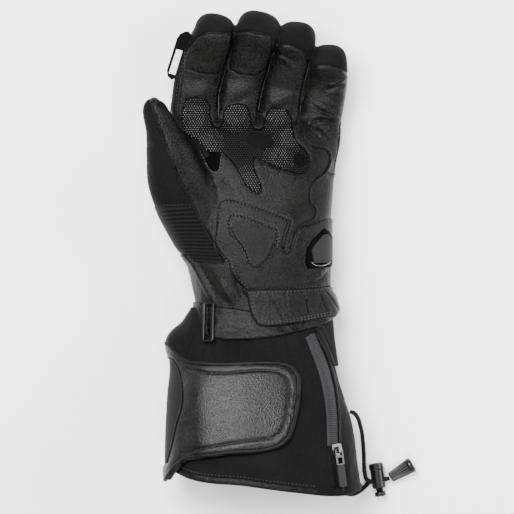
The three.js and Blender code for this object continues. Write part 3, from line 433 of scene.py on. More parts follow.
def leatherShade(name):
    look = leatherLooks[name]
    shade = Shade(name, {"Specular IOR Level": look["shine"]})
    soft, sharp, fold = leatherNoise["mottle"], leatherNoise["fine"], leatherNoise["creases"]
    mottle = shade.noise(soft["scale"], soft["detail"])
    fine = shade.noise(sharp["scale"], sharp["detail"])
    pores = {"Vector": shade.place(), "Scale": 1 / look["grain"]}
    cells = shade.node("ShaderNodeTexVoronoi", {"feature": "F1"}, pores)
    tone = shade.ramp(mottle * soft["tone"] + fine * sharp["tone"], *leatherNoise["toneRange"])
    cold, warm = tinted(look["dark"], leatherNoise["cold"]), tinted(look["light"], leatherNoise["warm"])
    shade.link("Base Color", shade.mix(tone, cold, warm))
    shade.link("Roughness", look["rough"] + (mottle - 0.5) * soft["rough"] + (fine - 0.5) * sharp["rough"])
    creases = shade.bump(shade.noise(fold["scale"], fold["detail"]), fold["height"], fold["strength"])
    height = cells * leatherNoise["cells"] + fine * sharp["bump"]
    shade.link("Normal", shade.bump(height, look["height"], leatherNoise["strength"], creases))
    return shade


clothLooks = {  # thread is the weave's pitch in metres
    "backCloth": dict(dark=0.0016, light=0.0048, shine=0.045, thread=0.0007),
    # this ribbed cloth is darker than the back cloth, as painted shade in the deep valleys of the pleats and
    # side ribs
    "shadedRibbedCloth": dict(dark=0.0006, light=0.002, shine=0.13, thread=0.0006),
    # this gusset cloth is darker than the back cloth, as painted shade in the notch between thumb and palm
    "shadedGussetCloth": dict(dark=0.0003, light=0.0009, shine=0.02, thread=0.0006),
    "sideCloth": dict(dark=0.003, light=0.009, shine=0.07, thread=0.0009),
    "insertCloth": dict(dark=0.0035, light=0.009, shine=0.16, thread=0.0006),
    "thread": dict(dark=0.009, light=0.034, shine=0.35, thread=0.0003),
    # a darker copy of the thread, as painted shade on the stitches between the fingers and beside the insert
    # and pleats
    "shadedThread": dict(dark=0.004, light=0.012, shine=0.25, thread=0.0003),
    # the lining is far lighter than the other cloths, as painted light inside the shaded cuff
    "lining": dict(dark=0.04, light=0.09, shine=0.08, thread=0.0012),
    # a less darkened copy of the thread, as painted shade on the flap's grooved row and the hem row
    "halfShadedThread": dict(dark=0.007, light=0.024, shine=0.3, thread=0.0003),
    "zipTape": dict(dark=0.012, light=0.022, shine=0.10, thread=0.0009),
    "zipTeeth": dict(dark=0.014, light=0.026, shine=0.2, thread=0.0004),
    "braid": dict(dark=0.0016, light=0.005, shine=0.12, thread=0.0005),
}

clothWeave = {  # shared by all cloths
    "sheen": 0.01, "sheenRough": 0.5, "rough": 0.7, "bands": 0.5, "height": 0.00016, "strength": 0.6,
    "lint": {"scale": 700, "detail": 2, "rough": 0.2},
    "blotches": {"scale": 40, "detail": 3},
    "toneRange": (0.35, 0.7),
    "tint": (1, 1, 1.08),
}


def clothShade(name):
    look = clothLooks[name]
    sheen = {"Sheen Weight": clothWeave["sheen"], "Sheen Roughness": clothWeave["sheenRough"]}
    shade = Shade(name, {"Specular IOR Level": look["shine"], **sheen})
    bands = {"Vector": shade.place(1 / look["thread"]), "Scale": clothWeave["bands"]}
    across = shade.node("ShaderNodeTexWave", {"bands_direction": "X"}, bands)
    along = shade.node("ShaderNodeTexWave", {"bands_direction": "Y"}, bands)
    fluff, blotch = clothWeave["lint"], clothWeave["blotches"]
    lint = shade.noise(fluff["scale"], fluff["detail"])
    blotches = shade.noise(blotch["scale"], blotch["detail"])
    tone = shade.ramp(blotches * 0.5 + lint * 0.5, *clothWeave["toneRange"])
    dark, light = (tinted(look[end], clothWeave["tint"]) for end in ("dark", "light"))
    shade.link("Base Color", shade.mix(tone, dark, light))
    shade.link("Roughness", clothWeave["rough"] + (lint - 0.5) * fluff["rough"])
    height = across * 0.5 + along * 0.5 + lint
    shade.link("Normal", shade.bump(height, clothWeave["height"], clothWeave["strength"]))
    return shade


plainWear = {  # shared by the moulded, cast and woven pieces of one colour
    "metal": 0.0, "shine": 0.3, "grain": 1800, "grainDetail": 2, "height": 0.00003, "strength": 0.5,
    "scale": 260, "detail": 3, "range": (0.35, 0.65), "darkShare": 0.8, "spread": 0.15,
}


def plainShade(name):
    look = {**plainWear, **plainLooks[name]}
    shade = Shade(name, {"Metallic": look["metal"], "Specular IOR Level": look["shine"]})
    wear = shade.noise(plainWear["scale"], plainWear["detail"])
    light = (*look["colour"], 1)
    dark = (*(plainWear["darkShare"] * level for level in look["colour"]), 1)
    shade.link("Base Color", shade.mix(shade.ramp(wear, *plainWear["range"]), dark, light))
    shade.link("Roughness", look["rough"] + (wear - 0.5) * plainWear["spread"])
    grain = shade.noise(look["grain"], plainWear["grainDetail"])
    shade.link("Normal", shade.bump(grain, plainWear["height"], plainWear["strength"]))
    return shade


plainLooks = {
    "frameGloss": dict(colour=(0.0006, 0.0006, 0.0007), rough=0.4, shine=0.012),
    # the lip's gloss is a lighter, glossier copy of the frame's black plastic, as a painted glint on the
    # slider's lip
    "glintLipGloss": dict(colour=(0.016, 0.016, 0.0165), rough=0.2, shine=0.9),
    "faceGrey": dict(colour=(0.0072, 0.0074, 0.008), rough=0.55, shine=0.12),
    "ringMetal": dict(colour=(0.010, 0.010, 0.0108), rough=0.3, metal=0.7),
    "zipMetal": dict(colour=(0.09, 0.09, 0.092), rough=0.42, metal=1.0),
    "pullMetal": dict(colour=(0.045, 0.045, 0.046), rough=0.4, metal=1.0),
    "lockPlastic": dict(colour=(0.0026, 0.0026, 0.003), rough=0.34, shine=0.3),
    "label": dict(colour=(0.8, 0.8, 0.79), rough=0.75, grain=900),
    "rubber": dict(colour=(0.015, 0.015, 0.0158), rough=0.6, shine=0.12),
    "webbing": dict(colour=(0.0014, 0.0014, 0.0016), rough=0.75, shine=0.08),
}


# Mesh tools

def readPoints(bm):
    return np.array([v.co[:] for v in bm.verts])


def writePoints(bm, points):
    for vert, point in zip(bm.verts, points):
        vert.co = point


def readNormals(bm):
    bm.normal_update()
    return np.array([v.normal[:] for v in bm.verts])


def meshObject(name, bm):
    mesh = bpy.data.meshes.new(name)
    bm.to_mesh(mesh)
    bm.free()
    obj = bpy.data.objects.new(name, mesh)
    bpy.context.collection.objects.link(obj)
    return obj


def applied(obj):  # the mesh that an object's modifiers or curve bevel give, as a bmesh
    graph = bpy.context.evaluated_depsgraph_get()
    graph.update()
    mesh = bpy.data.meshes.new_from_object(obj.evaluated_get(graph))
    bm = bmesh.new()
    bm.from_mesh(mesh)
    bpy.data.objects.remove(obj)
    return bm


def finishPiece(name, bm, shade, nodes=(), body="root", smooth=True):
    bmesh.ops.translate(bm, vec=originShift, verts=bm.verts)
    bmesh.ops.scale(bm, vec=(millimetre,) * 3, verts=bm.verts)
    for face in bm.faces:
        face.smooth = smooth
    obj = meshObject(name, bm)
    shade.put(obj)
    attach(obj, body)
    if nodes:
        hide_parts(*nodes)
    return obj


def smoothstep(value, low, high):
    t = np.clip((value - low) / (high - low), 0, 1)
    return t * t * (3 - 2 * t)


def smoothRead(stations, values, at):  # a smooth curve through the rows of a table
    stations = np.asarray(stations, float)
    values = np.asarray(values, float)
    slopes = np.gradient(values, stations)
    at = np.clip(at, stations[0], stations[-1])
    i = np.clip(np.searchsorted(stations, at) - 1, 0, len(stations) - 2)
    span = stations[i + 1] - stations[i]
    t = (at - stations[i]) / span
    start = values[i] * (1 + 2 * t) * (1 - t) ** 2 + slopes[i] * span * t * (1 - t) ** 2
    end = values[i + 1] * t * t * (3 - 2 * t) - slopes[i + 1] * span * t * t * (1 - t)
    return start + end


def gridMesh(columns, rows, shape, closed=False, capped=False):  # a formula of u and v places its points
    bm = bmesh.new()
    bmesh.ops.create_grid(bm, x_segments=columns, y_segments=rows, size=0.5)
    flat = readPoints(bm)
    writePoints(bm, shape(flat[:, 0] + 0.5, flat[:, 1] + 0.5))
    if closed:
        bmesh.ops.remove_doubles(bm, verts=bm.verts, dist=1e-4)
    if capped:
        bmesh.ops.holes_fill(bm, edges=bm.edges, sides=0)
    return bm


def axesTurn(*axes):  # the rotation that lays X, Y and Z along three directions
    return Matrix(axes).transposed().to_4x4()


def addPebble(bm, centre, turn, halves, subdivisions=1):  # an ellipsoid
    matrix = Matrix.Translation(centre) @ turn @ Matrix.Diagonal((*halves, 1))
    bmesh.ops.create_icosphere(bm, subdivisions=subdivisions, radius=1, matrix=matrix)


def squared(value, power=squareness):
    return np.sign(value) * np.abs(value) ** (2 / power)


def readSection(table, y):
    return [smoothRead(table["y"], table[key], y) for key in ("left", "right", "low", "high")]


def hump(apart, wide):  # 1 at no distance, falling away smoothly
    return np.exp(-(apart / wide) ** 2)


def rounded(inside, edge):  # 0 on an edge, rising in a quarter round to 1
    return np.sqrt(1 - (1 - np.clip(inside / edge, 0, 1)) ** 2)


def sectionPoint(turn, y, grow=0.0, table=bodyTable):  # on the hand or cuff, at a turn round its section
    left, right, low, high = readSection(table, y)
    low = np.maximum(low, 0)
    x = (left + right) / 2 + squared(np.cos(turn)) * ((right - left) / 2 + grow)
    z = (high + low - sag) / 2 + squared(np.sin(turn)) * ((high - low + sag) / 2 + grow)
    return np.stack([x, y + 0 * x, np.maximum(z, low - grow)], axis=-1)


def sectionTop(x, y):  # height of its palm side
    left, right, low, high = readSection(bodyTable, y)
    share = np.clip(np.abs(x - (left + right) / 2) / ((right - left) / 2), 0, 1)
    rise = (1 - share ** squareness) ** (1 / squareness)
    return (high + low - sag) / 2 + ((high - low + sag) / 2) * rise


class Digit:  # a digit's centre line, sampled, with its size and its own directions
    samples = 90
    columns = 40
    tipSquare = 2.3

    def __init__(self, table):
        rows = np.arange(len(table["x"]))
        at = np.linspace(0, rows[-1], self.samples)
        self.centre = np.stack([smoothRead(rows, table[key], at) for key in "xyz"], axis=-1)
        self.wide = smoothRead(rows, table["wide"], at)
        self.deep = smoothRead(rows, table["deep"], at)
        along = np.gradient(self.centre, axis=0)
        self.along = along / np.linalg.norm(along, axis=1)[:, None]
        side = np.cross(self.along, [0, 0, 1])
        self.side = side / np.linalg.norm(side, axis=1)[:, None]
        self.up = np.cross(self.side, self.along)
        self.tipStart = rows[-2] / rows[-1]
        self.blunt = table.get("blunt", 2.7)
        self.square = table.get("square", 3.1)
        steps = np.linalg.norm(np.diff(self.centre, axis=0), axis=1)
        self.length = np.concatenate([[0], np.cumsum(steps)])

    def loft(self):
        tip = int(self.tipStart * (self.samples - 1))

        def shape(u, v):
            turn = u * 2 * math.pi
            i = np.clip(np.round(v * (self.samples - 1)).astype(int), 0, self.samples - 1)
            inTip = np.clip((i - tip) / (self.samples - 1 - tip), 0, 0.999)
            size = (1 - inTip ** self.blunt) ** (1 / self.blunt)
            power = self.square + (self.tipSquare - self.square) * inTip
            across = squared(np.cos(turn), power) * self.wide[i] * size
            up = squared(np.sin(turn), power) * self.deep[i] * size
            return self.centre[i] + self.side[i] * across[:, None] + self.up[i] * up[:, None]

        return gridMesh(self.columns, self.samples - 1, shape, closed=True, capped=True)

    def read(self, points):  # share along it, nearness to its axis and height above it
        apart = ((points[:, None, :] - self.centre[None, :, :]) ** 2).sum(axis=2)
        i = apart.argmin(axis=1)
        offset = points - self.centre[i]
        along = (offset * self.along[i]).sum(axis=1)
        share = (self.length[i] + along) / self.length[-1]
        across = (offset * self.side[i]).sum(axis=1)
        out = (offset * self.up[i]).sum(axis=1)
        near = np.sqrt((across / self.wide[i]) ** 2 + (out / self.deep[i]) ** 2)
        return {"share": share, "near": near, "up": out}


digits = {name: Digit(table) for name, table in digitTable.items()}


snapShare = 0.2  # a point this near a cut, as a share of its edge, moves onto it


def cutAlong(bm, field):  # new edges where a field of position passes through zero
    values = dict(zip(bm.verts, field(readPoints(bm))))
    onLine = set()
    for edge in [e for e in bm.edges if values[e.verts[0]] * values[e.verts[1]] < 0]:
        a, b = edge.verts
        if a in onLine or b in onLine:
            continue
        share = values[a] / (values[a] - values[b])
        if share < snapShare or share > 1 - snapShare:
            near = a if share < 0.5 else b
            near.co = a.co.lerp(b.co, share)
            values[near] = 0.0
            onLine.add(near)
    for edge in [e for e in bm.edges if values[e.verts[0]] * values[e.verts[1]] < 0]:
        a, b = edge.verts
        _, vert = bmesh.utils.edge_split(edge, a, values[a] / (values[a] - values[b]))
        values[vert] = 0.0
        onLine.add(vert)
    bmesh.ops.connect_verts(bm, verts=list(onLine))
    return values


def keepWhere(bm, field):  # cuts along a field's zero line and keeps what is above it
    values = cutAlong(bm, field)
    gone = [f for f in bm.faces if sum(values.get(v, 0.0) for v in f.verts) <= 0]
    bmesh.ops.delete(bm, geom=gone, context="FACES")
    return bm


def outlineField(corners):  # distance inside a closed outline in X and Y, negative outside it
    start = np.array(corners, float)
    end = np.roll(start, -1, axis=0)
    span = end - start

    def field(points):
        p = points[:, None, :2]
        t = np.clip(((p - start) * span).sum(axis=2) / (span ** 2).sum(axis=1), 0, 1)
        apart = np.linalg.norm(p - start - t[..., None] * span, axis=2).min(axis=1)
        crosses = (start[:, 1] > p[..., 1]) != (end[:, 1] > p[..., 1])
        level = np.where(span[:, 1] == 0, 1e-9, span[:, 1])
        atX = start[:, 0] + (p[..., 1] - start[:, 1]) * span[:, 0] / level
        inside = (crosses & (p[..., 0] < atX)).sum(axis=1) % 2 == 1
        return np.where(inside, apart, -apart)

    return field


def smoothLine(corners, spacing, closed=False):  # a rounded line through points, evenly spaced
    points = np.array(corners, float)
    if closed:
        points = np.concatenate([points[-2:], points, points[:3]])
    steps = np.linalg.norm(np.diff(points, axis=0), axis=1)
    along = np.concatenate([[0], np.cumsum(steps)])
    low, high = (along[2], along[-3]) if closed else (0, along[-1])
    count = max(2, int(round((high - low) / spacing)))
    at = np.linspace(low, high, count + 1)
    line = np.stack([smoothRead(along, points[:, k], at) for k in range(points.shape[1])], axis=-1)
    return line[:-1] if closed else line


class Surface:  # a finished surface that other pieces are laid on from above
    above = 150

    def __init__(self, *meshes):
        joined = bmesh.new()
        for bm in meshes:
            copy = bpy.data.meshes.new("copy")
            bm.to_mesh(copy)
            joined.from_mesh(copy)
            bpy.data.meshes.remove(copy)
        self.tree = BVHTree.FromBMesh(joined)
        joined.free()

    def drop(self, x, y, lift=0.0):
        place, normal, _, _ = self.tree.ray_cast(Vector((x, y, self.above)), Vector((0, 0, -1)))
        if place is None:
            return None
        return place + normal * lift, normal

    def drape(self, line, lift=0.0):
        found = [self.drop(p[0], p[1], lift) for p in line]
        return [pair for pair in found if pair]


def tube(points, radius, closed=False, sides=10, relief=None):
    # round, through points; relief scales its radius by the turn and the length along it
    line = np.array([p[:] for p in points], float)
    ahead = np.roll(line, -1, axis=0) - line if closed else np.gradient(line, axis=0)
    ahead /= np.linalg.norm(ahead, axis=1)[:, None]
    side = np.zeros_like(line)
    side[0] = np.cross(ahead[0], [0, 0, 1] if abs(ahead[0][2]) < 0.9 else [1, 0, 0])
    for i in range(1, len(line)):
        side[i] = side[i - 1] - ahead[i] * side[i - 1].dot(ahead[i])
        side[i] /= np.linalg.norm(side[i])
    side[0] /= np.linalg.norm(side[0])
    other = np.cross(side, ahead)
    steps = np.linalg.norm(np.diff(line, axis=0), axis=1)
    length = np.concatenate([[0], np.cumsum(steps)])
    rows = len(line) - (0 if closed else 1)

    def shape(u, v):
        i = np.round(v * rows).astype(int) % len(line)
        turn = u * 2 * math.pi
        size = relief(turn, length[i]) * radius if relief else np.full(len(u), radius)
        return (line[i] + side[i] * (np.cos(turn) * size)[:, None]
                + other[i] * (np.sin(turn) * size)[:, None])

    bm = gridMesh(sides, rows, shape, closed=True, capped=True)
    bmesh.ops.recalc_face_normals(bm, faces=bm.faces)
    return bm


def joinMeshes(target, *others):
    for bm in others:
        copy = bpy.data.meshes.new("copy")
        bm.to_mesh(copy)
        target.from_mesh(copy)
        bpy.data.meshes.remove(copy)
        bm.free()
    return target


stitchLook = {"pitch": 2.5, "halves": (0.8, 0.375, 0.3), "lift": 0.2, "spacing": 0.4}


def stitchLine(bm, pairs):  # small capsules along places on a surface
    travelled = 0.0
    due = stitchLook["pitch"] / 2
    for (place, normal), (following, _) in zip(pairs, pairs[1:]):
        step = (following - place).length
        if travelled + step < due:
            travelled += step
            continue
        along = (following - place).normalized()
        across = normal.cross(along).normalized()
        centre = place.lerp(following, (due - travelled) / step) + normal * stitchLook["lift"]
        addPebble(bm, centre, axesTurn(along, across, along.cross(across)), stitchLook["halves"])
        travelled = travelled + step - stitchLook["pitch"]


# The skin of the hand and digits: one surface grown from their forms, then pressed into folds

skinLook = {"voxel": 0.95, "smoothing": 7}
bodyLook = {"start": wristSeam - 9, "end": knuckleLine + 6, "taperLong": 20, "taper": 2.5, "grid": (96, 60)}


def bodyLoft():
    start, end = bodyLook["start"], bodyLook["end"]

    def shape(u, v):
        y = start + v * (end - start)
        toEnd = np.clip((y - end) / bodyLook["taperLong"] + 1, 0, 0.995)
        points = sectionPoint(u * 2 * math.pi, y)
        middle = sectionTop((points[:, 0].min() + points[:, 0].max()) / 2, y) / 2
        points[:, 2] = middle + (points[:, 2] - middle) * (1 - toEnd ** bodyLook["taper"]) ** 0.5
        return points

    return gridMesh(*bodyLook["grid"], shape, closed=True, capped=True)


webLook = {"at": (-30, 35, 37), "heading": 112, "halves": (29, 16, 14.5)}


def webForm():  # the filled web between the thumb and the palm
    turn = Matrix.Rotation(math.radians(webLook["heading"]), 4, "Z")
    bm = bmesh.new()
    addPebble(bm, webLook["at"], turn, webLook["halves"], subdivisions=5)
    return bm


def growSkin():
    joined = joinMeshes(bodyLoft(), webForm(), *[digit.loft() for digit in digits.values()])
    bmesh.ops.recalc_face_normals(joined, faces=joined.faces)
    obj = meshObject("grown", joined)
    remesh = obj.modifiers.new("remesh", "REMESH")
    remesh.mode = "VOXEL"
    remesh.voxel_size = skinLook["voxel"]
    relax = obj.modifiers.new("relax", "SMOOTH")
    relax.iterations = skinLook["smoothing"]
    return applied(obj)


def lineDistance(points, line):  # plan distance to a line, and the share along it
    start = np.array(line[:-1], float)
    span = np.array(line[1:], float) - start
    long = (span ** 2).sum(axis=1)
    p = points[:, None, :2]
    t = np.clip(((p - start) * span).sum(axis=2) / long, 0, 1)
    apart = np.linalg.norm(p - start - t[..., None] * span, axis=2)
    i = apart.argmin(axis=1)
    rows = np.arange(len(points))
    return apart[rows, i], (i + t[rows, i]) / len(start)


softWaves = {"count": 9, "sizes": (0.7, 1.4), "level": 3.2}


def softNoise(points, size, seed):  # waves of about one size in all directions, between about -1 and 1
    random = np.random.default_rng(seed)
    total = np.zeros(len(points))
    for _ in range(softWaves["count"]):
        heading = random.normal(size=3)
        heading *= 2 * math.pi / (size * random.uniform(*softWaves["sizes"])) / np.linalg.norm(heading)
        total += np.sin(points @ heading + random.uniform(0, 2 * math.pi))
    return total / softWaves["level"]


def creased(points, size, seed):  # soft folds with narrow crests
    return 1 - 2 * np.abs(softNoise(points, size, seed)) ** 0.7


folds = [  # plan line, half-width and height; a height under zero is a crease
    dict(line=[(43.5, 101.2), (48.5, 98), (55.5, 94.6)], wide=0.9, high=1.0),
    dict(line=[(43, 98.6), (48, 95.4), (54, 92.6)], wide=0.9, high=-1.0),
    dict(line=[(47, 104), (53, 101), (58.5, 99.5)], wide=1.0, high=0.7),
    dict(line=[(39, 88), (40.5, 91.2), (46, 92.8), (54, 91.6), (60.6, 93.6)], wide=0.9, high=1.1),
    dict(line=[(40.4, 86.6), (42.4, 89), (47, 90), (54, 89), (60.6, 91)], wide=0.9, high=-1.1),
    dict(line=[(40.8, 83.6), (43, 86.8), (48.5, 88), (55, 87.2), (60, 88.4)], wide=0.8, high=0.8),
    dict(line=[(42.5, 82.5), (46.5, 81.6), (49.5, 75.5)], wide=1.5, high=1.1),
    dict(line=[(46, 84.5), (51, 80), (53.5, 73.5)], wide=1.0, high=-0.8),
    dict(line=[(50.5, 113), (57, 114.4), (64.5, 118.4)], wide=1.1, high=0.9),
    dict(line=[(50, 110.4), (57, 111.8), (64, 115)], wide=1.0, high=-1.0),
    dict(line=[(51, 107.6), (57, 109.4), (63.6, 112)], wide=1.0, high=0.8),
    dict(line=[(54, 81), (60, 83.5)], wide=0.9, high=0.6),
    dict(line=[(-47, 116), (-36, 117.6), (-24, 118.5)], wide=5.0, high=-0.9),
    dict(line=[(-47, 106), (-36, 109), (-27, 112)], wide=4.5, high=0.4),
    dict(line=[(-44, 100), (-36, 99), (-28, 102)], wide=1.6, high=-0.4),
    dict(line=[(-18, 116), (-9, 118), (3, 118)], wide=4.6, high=-0.9),
    dict(line=[(-19, 106), (-10, 109), (-1, 113)], wide=4.0, high=0.7),
    dict(line=[(-17, 102), (-8, 103), (0, 107)], wide=1.5, high=-0.5),
    dict(line=[(9, 112), (20, 110.5), (30, 109)], wide=4.6, high=-0.9),
    dict(line=[(11, 100), (19, 104), (28, 107)], wide=4.0, high=0.7),
    dict(line=[(14, 98), (22, 99), (28, 102)], wide=1.5, high=-0.5),
    dict(line=[(-36, 128), (-24, 131)], wide=2.2, high=-0.4),
    dict(line=[(-12, 126), (3, 124)], wide=2.2, high=-0.4),
    dict(line=[(12, 136), (20, 134), (30, 128)], wide=1.3, high=-0.7),
    dict(line=[(13, 133), (22, 131), (29, 124)], wide=1.3, high=0.6),
    dict(line=[(-46.2, -1.7), (-40.1, -7.1), (-32, -22.8), (-26.5, -33.7)], wide=1.8, high=1.5),
    dict(line=[(-38, -4), (-29, -21), (-22, -31)], wide=3.2, high=-1.3),
    dict(line=[(-21.8, -20.1), (-16, -29), (-10.9, -35.7)], wide=2.2, high=1.7),
    dict(line=[(-13.6, -14), (-9, -24), (-3.5, -34)], wide=2.6, high=-1.8),
    dict(line=[(-43, -12), (-39, -24), (-36, -33)], wide=2.4, high=-0.9),
    dict(line=[(-42, -26), (-40, -33)], wide=1.4, high=1.0),
    dict(line=[(50.3, -8.8), (44, -16), (35.8, -22.3)], wide=2.0, high=1.0),
    dict(line=[(51, -13), (46, -19), (40, -23)], wide=1.4, high=-0.8),
    dict(line=[(49, 54), (40, 44), (28, 36), (16, 30)], wide=5.0, high=1.1),
    dict(line=[(46, 44), (37, 36), (25, 30)], wide=4.0, high=-1.0),
    dict(line=[(-27, 52), (-20, 45), (-14, 38)], wide=2.5, high=0.7),
    dict(line=[(-22, 44), (-16, 50)], wide=1.6, high=-0.7),
    dict(line=[(-74, 73), (-66, 72)], wide=1.6, high=-1.2),
    dict(line=[(-68, 41), (-60, 40)], wide=1.8, high=-1.3),
    dict(line=[(54, 70), (56, 60), (52, 50)], wide=2.2, high=-0.9),
]
wrinkleZones = [  # plan centre and radius where the leather is crumpled, and how much
    dict(at=(53, 92), radius=15, high=0.12),
    dict(at=(-30, -22), radius=17, high=0.08),
    dict(at=(25, 127), radius=12, high=0.15),
    dict(at=(50, -16), radius=14, high=0.1),
    dict(at=(-22, 45), radius=10, high=0.06),
]
gapLines = ["indexMiddle", "middleRing", "ringLittle"]
seamGroove = {"wide": 0.9, "deep": 0.55}
fingerGap = {"wide": 0.8, "deep": 0.7}
edgeGroove = {"wide": 0.9, "deep": 0.45}
knuckleLook = {"at": 90, "reach": 9, "above": 22, "rightOf": -52, "rounds": 30}  # smooths the finger roots
sculptLook = {  # all of the skin, and how far round its upper side the folds reach
    "upwardFrom": -0.2, "upwardTo": 0.35, "swell": 0.3, "swellSize": 30, "crease": 0.03, "creaseSize": 9,
}


def foldEnds(share, margin, power):  # fades a fold out towards both ends of its line
    return np.sin(math.pi * np.clip(share, margin, 1 - margin)) ** power


def sculptSkin(bm):
    look = knuckleLook
    knuckles = [v for v in bm.verts if abs(v.co.y - look["at"]) < look["reach"]
                and v.co.z > look["above"] and v.co.x > look["rightOf"]]
    for _ in range(look["rounds"]):
        bmesh.ops.smooth_vert(bm, verts=knuckles, factor=0.5, use_axis_x=True, use_axis_y=True,
                              use_axis_z=True)
    normals = readNormals(bm)
    points = readPoints(bm)
    upward = smoothstep(normals[:, 2], sculptLook["upwardFrom"], sculptLook["upwardTo"])
    rise = sculptLook["swell"] * softNoise(points, sculptLook["swellSize"], seed=1)
    rise += sculptLook["crease"] * creased(points, sculptLook["creaseSize"], seed=2)
    for name in ("grip", "heel", "indexPad", "middlePad"):
        apart = np.abs(outlineField(outlines[name])(points))
        rise -= upward * edgeGroove["deep"] * hump(apart, edgeGroove["wide"])
    for fold in folds:
        apart, share = lineDistance(points, fold["line"])
        rise += upward * fold["high"] * foldEnds(share, 0.03, 0.6) * hump(apart, fold["wide"])
    for zone in wrinkleZones:
        apart = np.linalg.norm(points[:, :2] - zone["at"], axis=1)
        near = hump(apart, zone["radius"]) * upward
        crumple = creased(points, size=6, seed=4) + 0.5 * creased(points, size=3, seed=5)
        rise += near * zone["high"] * crumple
    for name in gapLines:
        apart, _ = lineDistance(points, paths[name])
        rise -= upward * fingerGap["deep"] * hump(apart, fingerGap["wide"])
    writePoints(bm, points + normals * rise[:, None])
    return bm


leatherEdge = outlineField(outlines["leather"])


digitSeam = {"under": 3.0, "near": (-1.8, -1.35), "share": (0.12, 0.3)}  # a little under a digit's axis


def seamHeight(points):  # height above the side seam between leather and back cloth
    height = points[:, 2] - sideSeam
    for digit in digits.values():
        read = digit.read(points)
        zone = smoothstep(-read["near"], *digitSeam["near"]) * smoothstep(read["share"], *digitSeam["share"])
        height = height * (1 - zone) + (read["up"] + digitSeam["under"]) * zone
    return height


def leatherField(points):
    return np.minimum(leatherEdge(points), seamHeight(points))


splitLook = {"wristPast": 6, "liftWide": 1.8, "sides": [(1, 0.45), (-1, 0.15)]}  # side of the field and lift


def splitSkin(bm):
    pieces = []
    for side, lift in splitLook["sides"]:
        part = keepWhere(bm.copy(), lambda points: side * leatherField(points))
        keepWhere(part, lambda points: points[:, 1] - wristSeam + splitLook["wristPast"])
        normals = readNormals(part)
        points = readPoints(part)
        inside = np.abs(leatherField(points))
        rise = lift * smoothstep(inside, 0, splitLook["liftWide"])
        rise = rise - seamGroove["deep"] * hump(inside, seamGroove["wide"])
        writePoints(part, points + normals * rise[:, None])
        pieces.append(part)
    return pieces


def grooved(points, names, deep=0.32, wide=0.6):  # shallow channels along seam paths
    sunken = np.zeros(len(points))
    for name in names:
        apart, _ = lineDistance(points, paths[name])
        sunken = np.maximum(sunken, deep * hump(apart, wide))
    return sunken


def offsetLine(line, shift):  # a plan line moved sideways, to the left of its direction
    along = np.gradient(line, axis=0)
    side = np.stack([-along[:, 1], along[:, 0]], axis=-1) / np.linalg.norm(along, axis=1)[:, None]
    return line + side * shift


def pillow(bm, field, thick, edge, sunk, relief=None, grooves=()):  # a rounded layer inside a field's edge
    keepWhere(bm, field)
    normals = readNormals(bm)
    points = readPoints(bm)
    inside = field(points)
    rise = (thick + sunk) * rounded(inside, edge) - sunk
    if relief:
        rise = rise + relief(points) * np.clip(inside / edge, 0, 1)
    rise = rise - grooved(points, grooves)
    writePoints(bm, points + normals * rise[:, None])
    return bm


overlayReach = 1.5  # how far past its outline an overlay keeps the base's faces until it is cut


def overlay(base, outline, thick, edge, relief=None, sunk=0.15, grooves=()):  # a layer on the skin
    bm = base.copy()
    field = outlineField(outlines[outline])
    inside = dict(zip(bm.verts, field(readPoints(bm))))
    far = [f for f in bm.faces if max(inside[v] for v in f.verts) < -overlayReach]
    bmesh.ops.delete(bm, geom=far, context="FACES")
    bmesh.ops.subdivide_edges(bm, edges=bm.edges, cuts=1, use_grid_fill=True)
    return pillow(bm, field, thick, edge, sunk, relief, grooves)


bandRadius = 30  # a band's length is read from its turn at this radius, to divide it into columns


def bandMesh(turns, ys, step, grow, table=bodyTable):  # part of a section's surface
    columns = int(abs(turns[1] - turns[0]) * bandRadius / step)
    rows = int(abs(ys[1] - ys[0]) / step)

    def shape(u, v):
        turn = turns[0] + u * (turns[1] - turns[0])
        y = ys[0] + v * (ys[1] - ys[0])
        plain = sectionPoint(turn, y, 0, table)
        return sectionPoint(turn, y, grow(plain), table)

    return gridMesh(columns, rows, shape)


def pillowed(bm, outline, thick, edge, sunk=0.15, floor=-9):  # a layer cut from a band, above a floor
    plan = outlineField(outlines[outline])
    return pillow(bm, lambda points: np.minimum(plan(points), points[:, 2] - floor), thick, edge, sunk)


def pipingOn(surface, name, lift, radius, spacing=0.8, **more):  # a tube along a seam path
    return tube([p for p, _ in surface.drape(smoothLine(paths[name], spacing), lift)], radius, **more)


def stitchRow(bm, surface, name, shift=0.0):  # stitches beside a seam path
    line = smoothLine(paths[name], stitchLook["spacing"])
    stitchLine(bm, surface.drape(offsetLine(line, shift)))


def ribbonMesh(surface, line, across, lift, spacing):  # a strip draped along a plan line, at offsets from it
    centre = smoothLine(line, spacing)
    along = np.gradient(centre, axis=0)
    side = np.stack([along[:, 1], -along[:, 0]], axis=-1) / np.linalg.norm(along, axis=1)[:, None]
    columns = len(across) - 1
    rows = len(centre) - 1

    def shape(u, v):
        i = np.round(v * rows).astype(int)
        j = np.round(u * columns).astype(int)
        flat = centre[i] + side[i] * np.array(across)[j][:, None]
        out = []
        for place, column in zip(flat, j):
            found, _ = surface.drop(*place, lift(across[column]))
            out.append(found[:])
        return np.array(out)

    return gridMesh(columns, rows, shape)


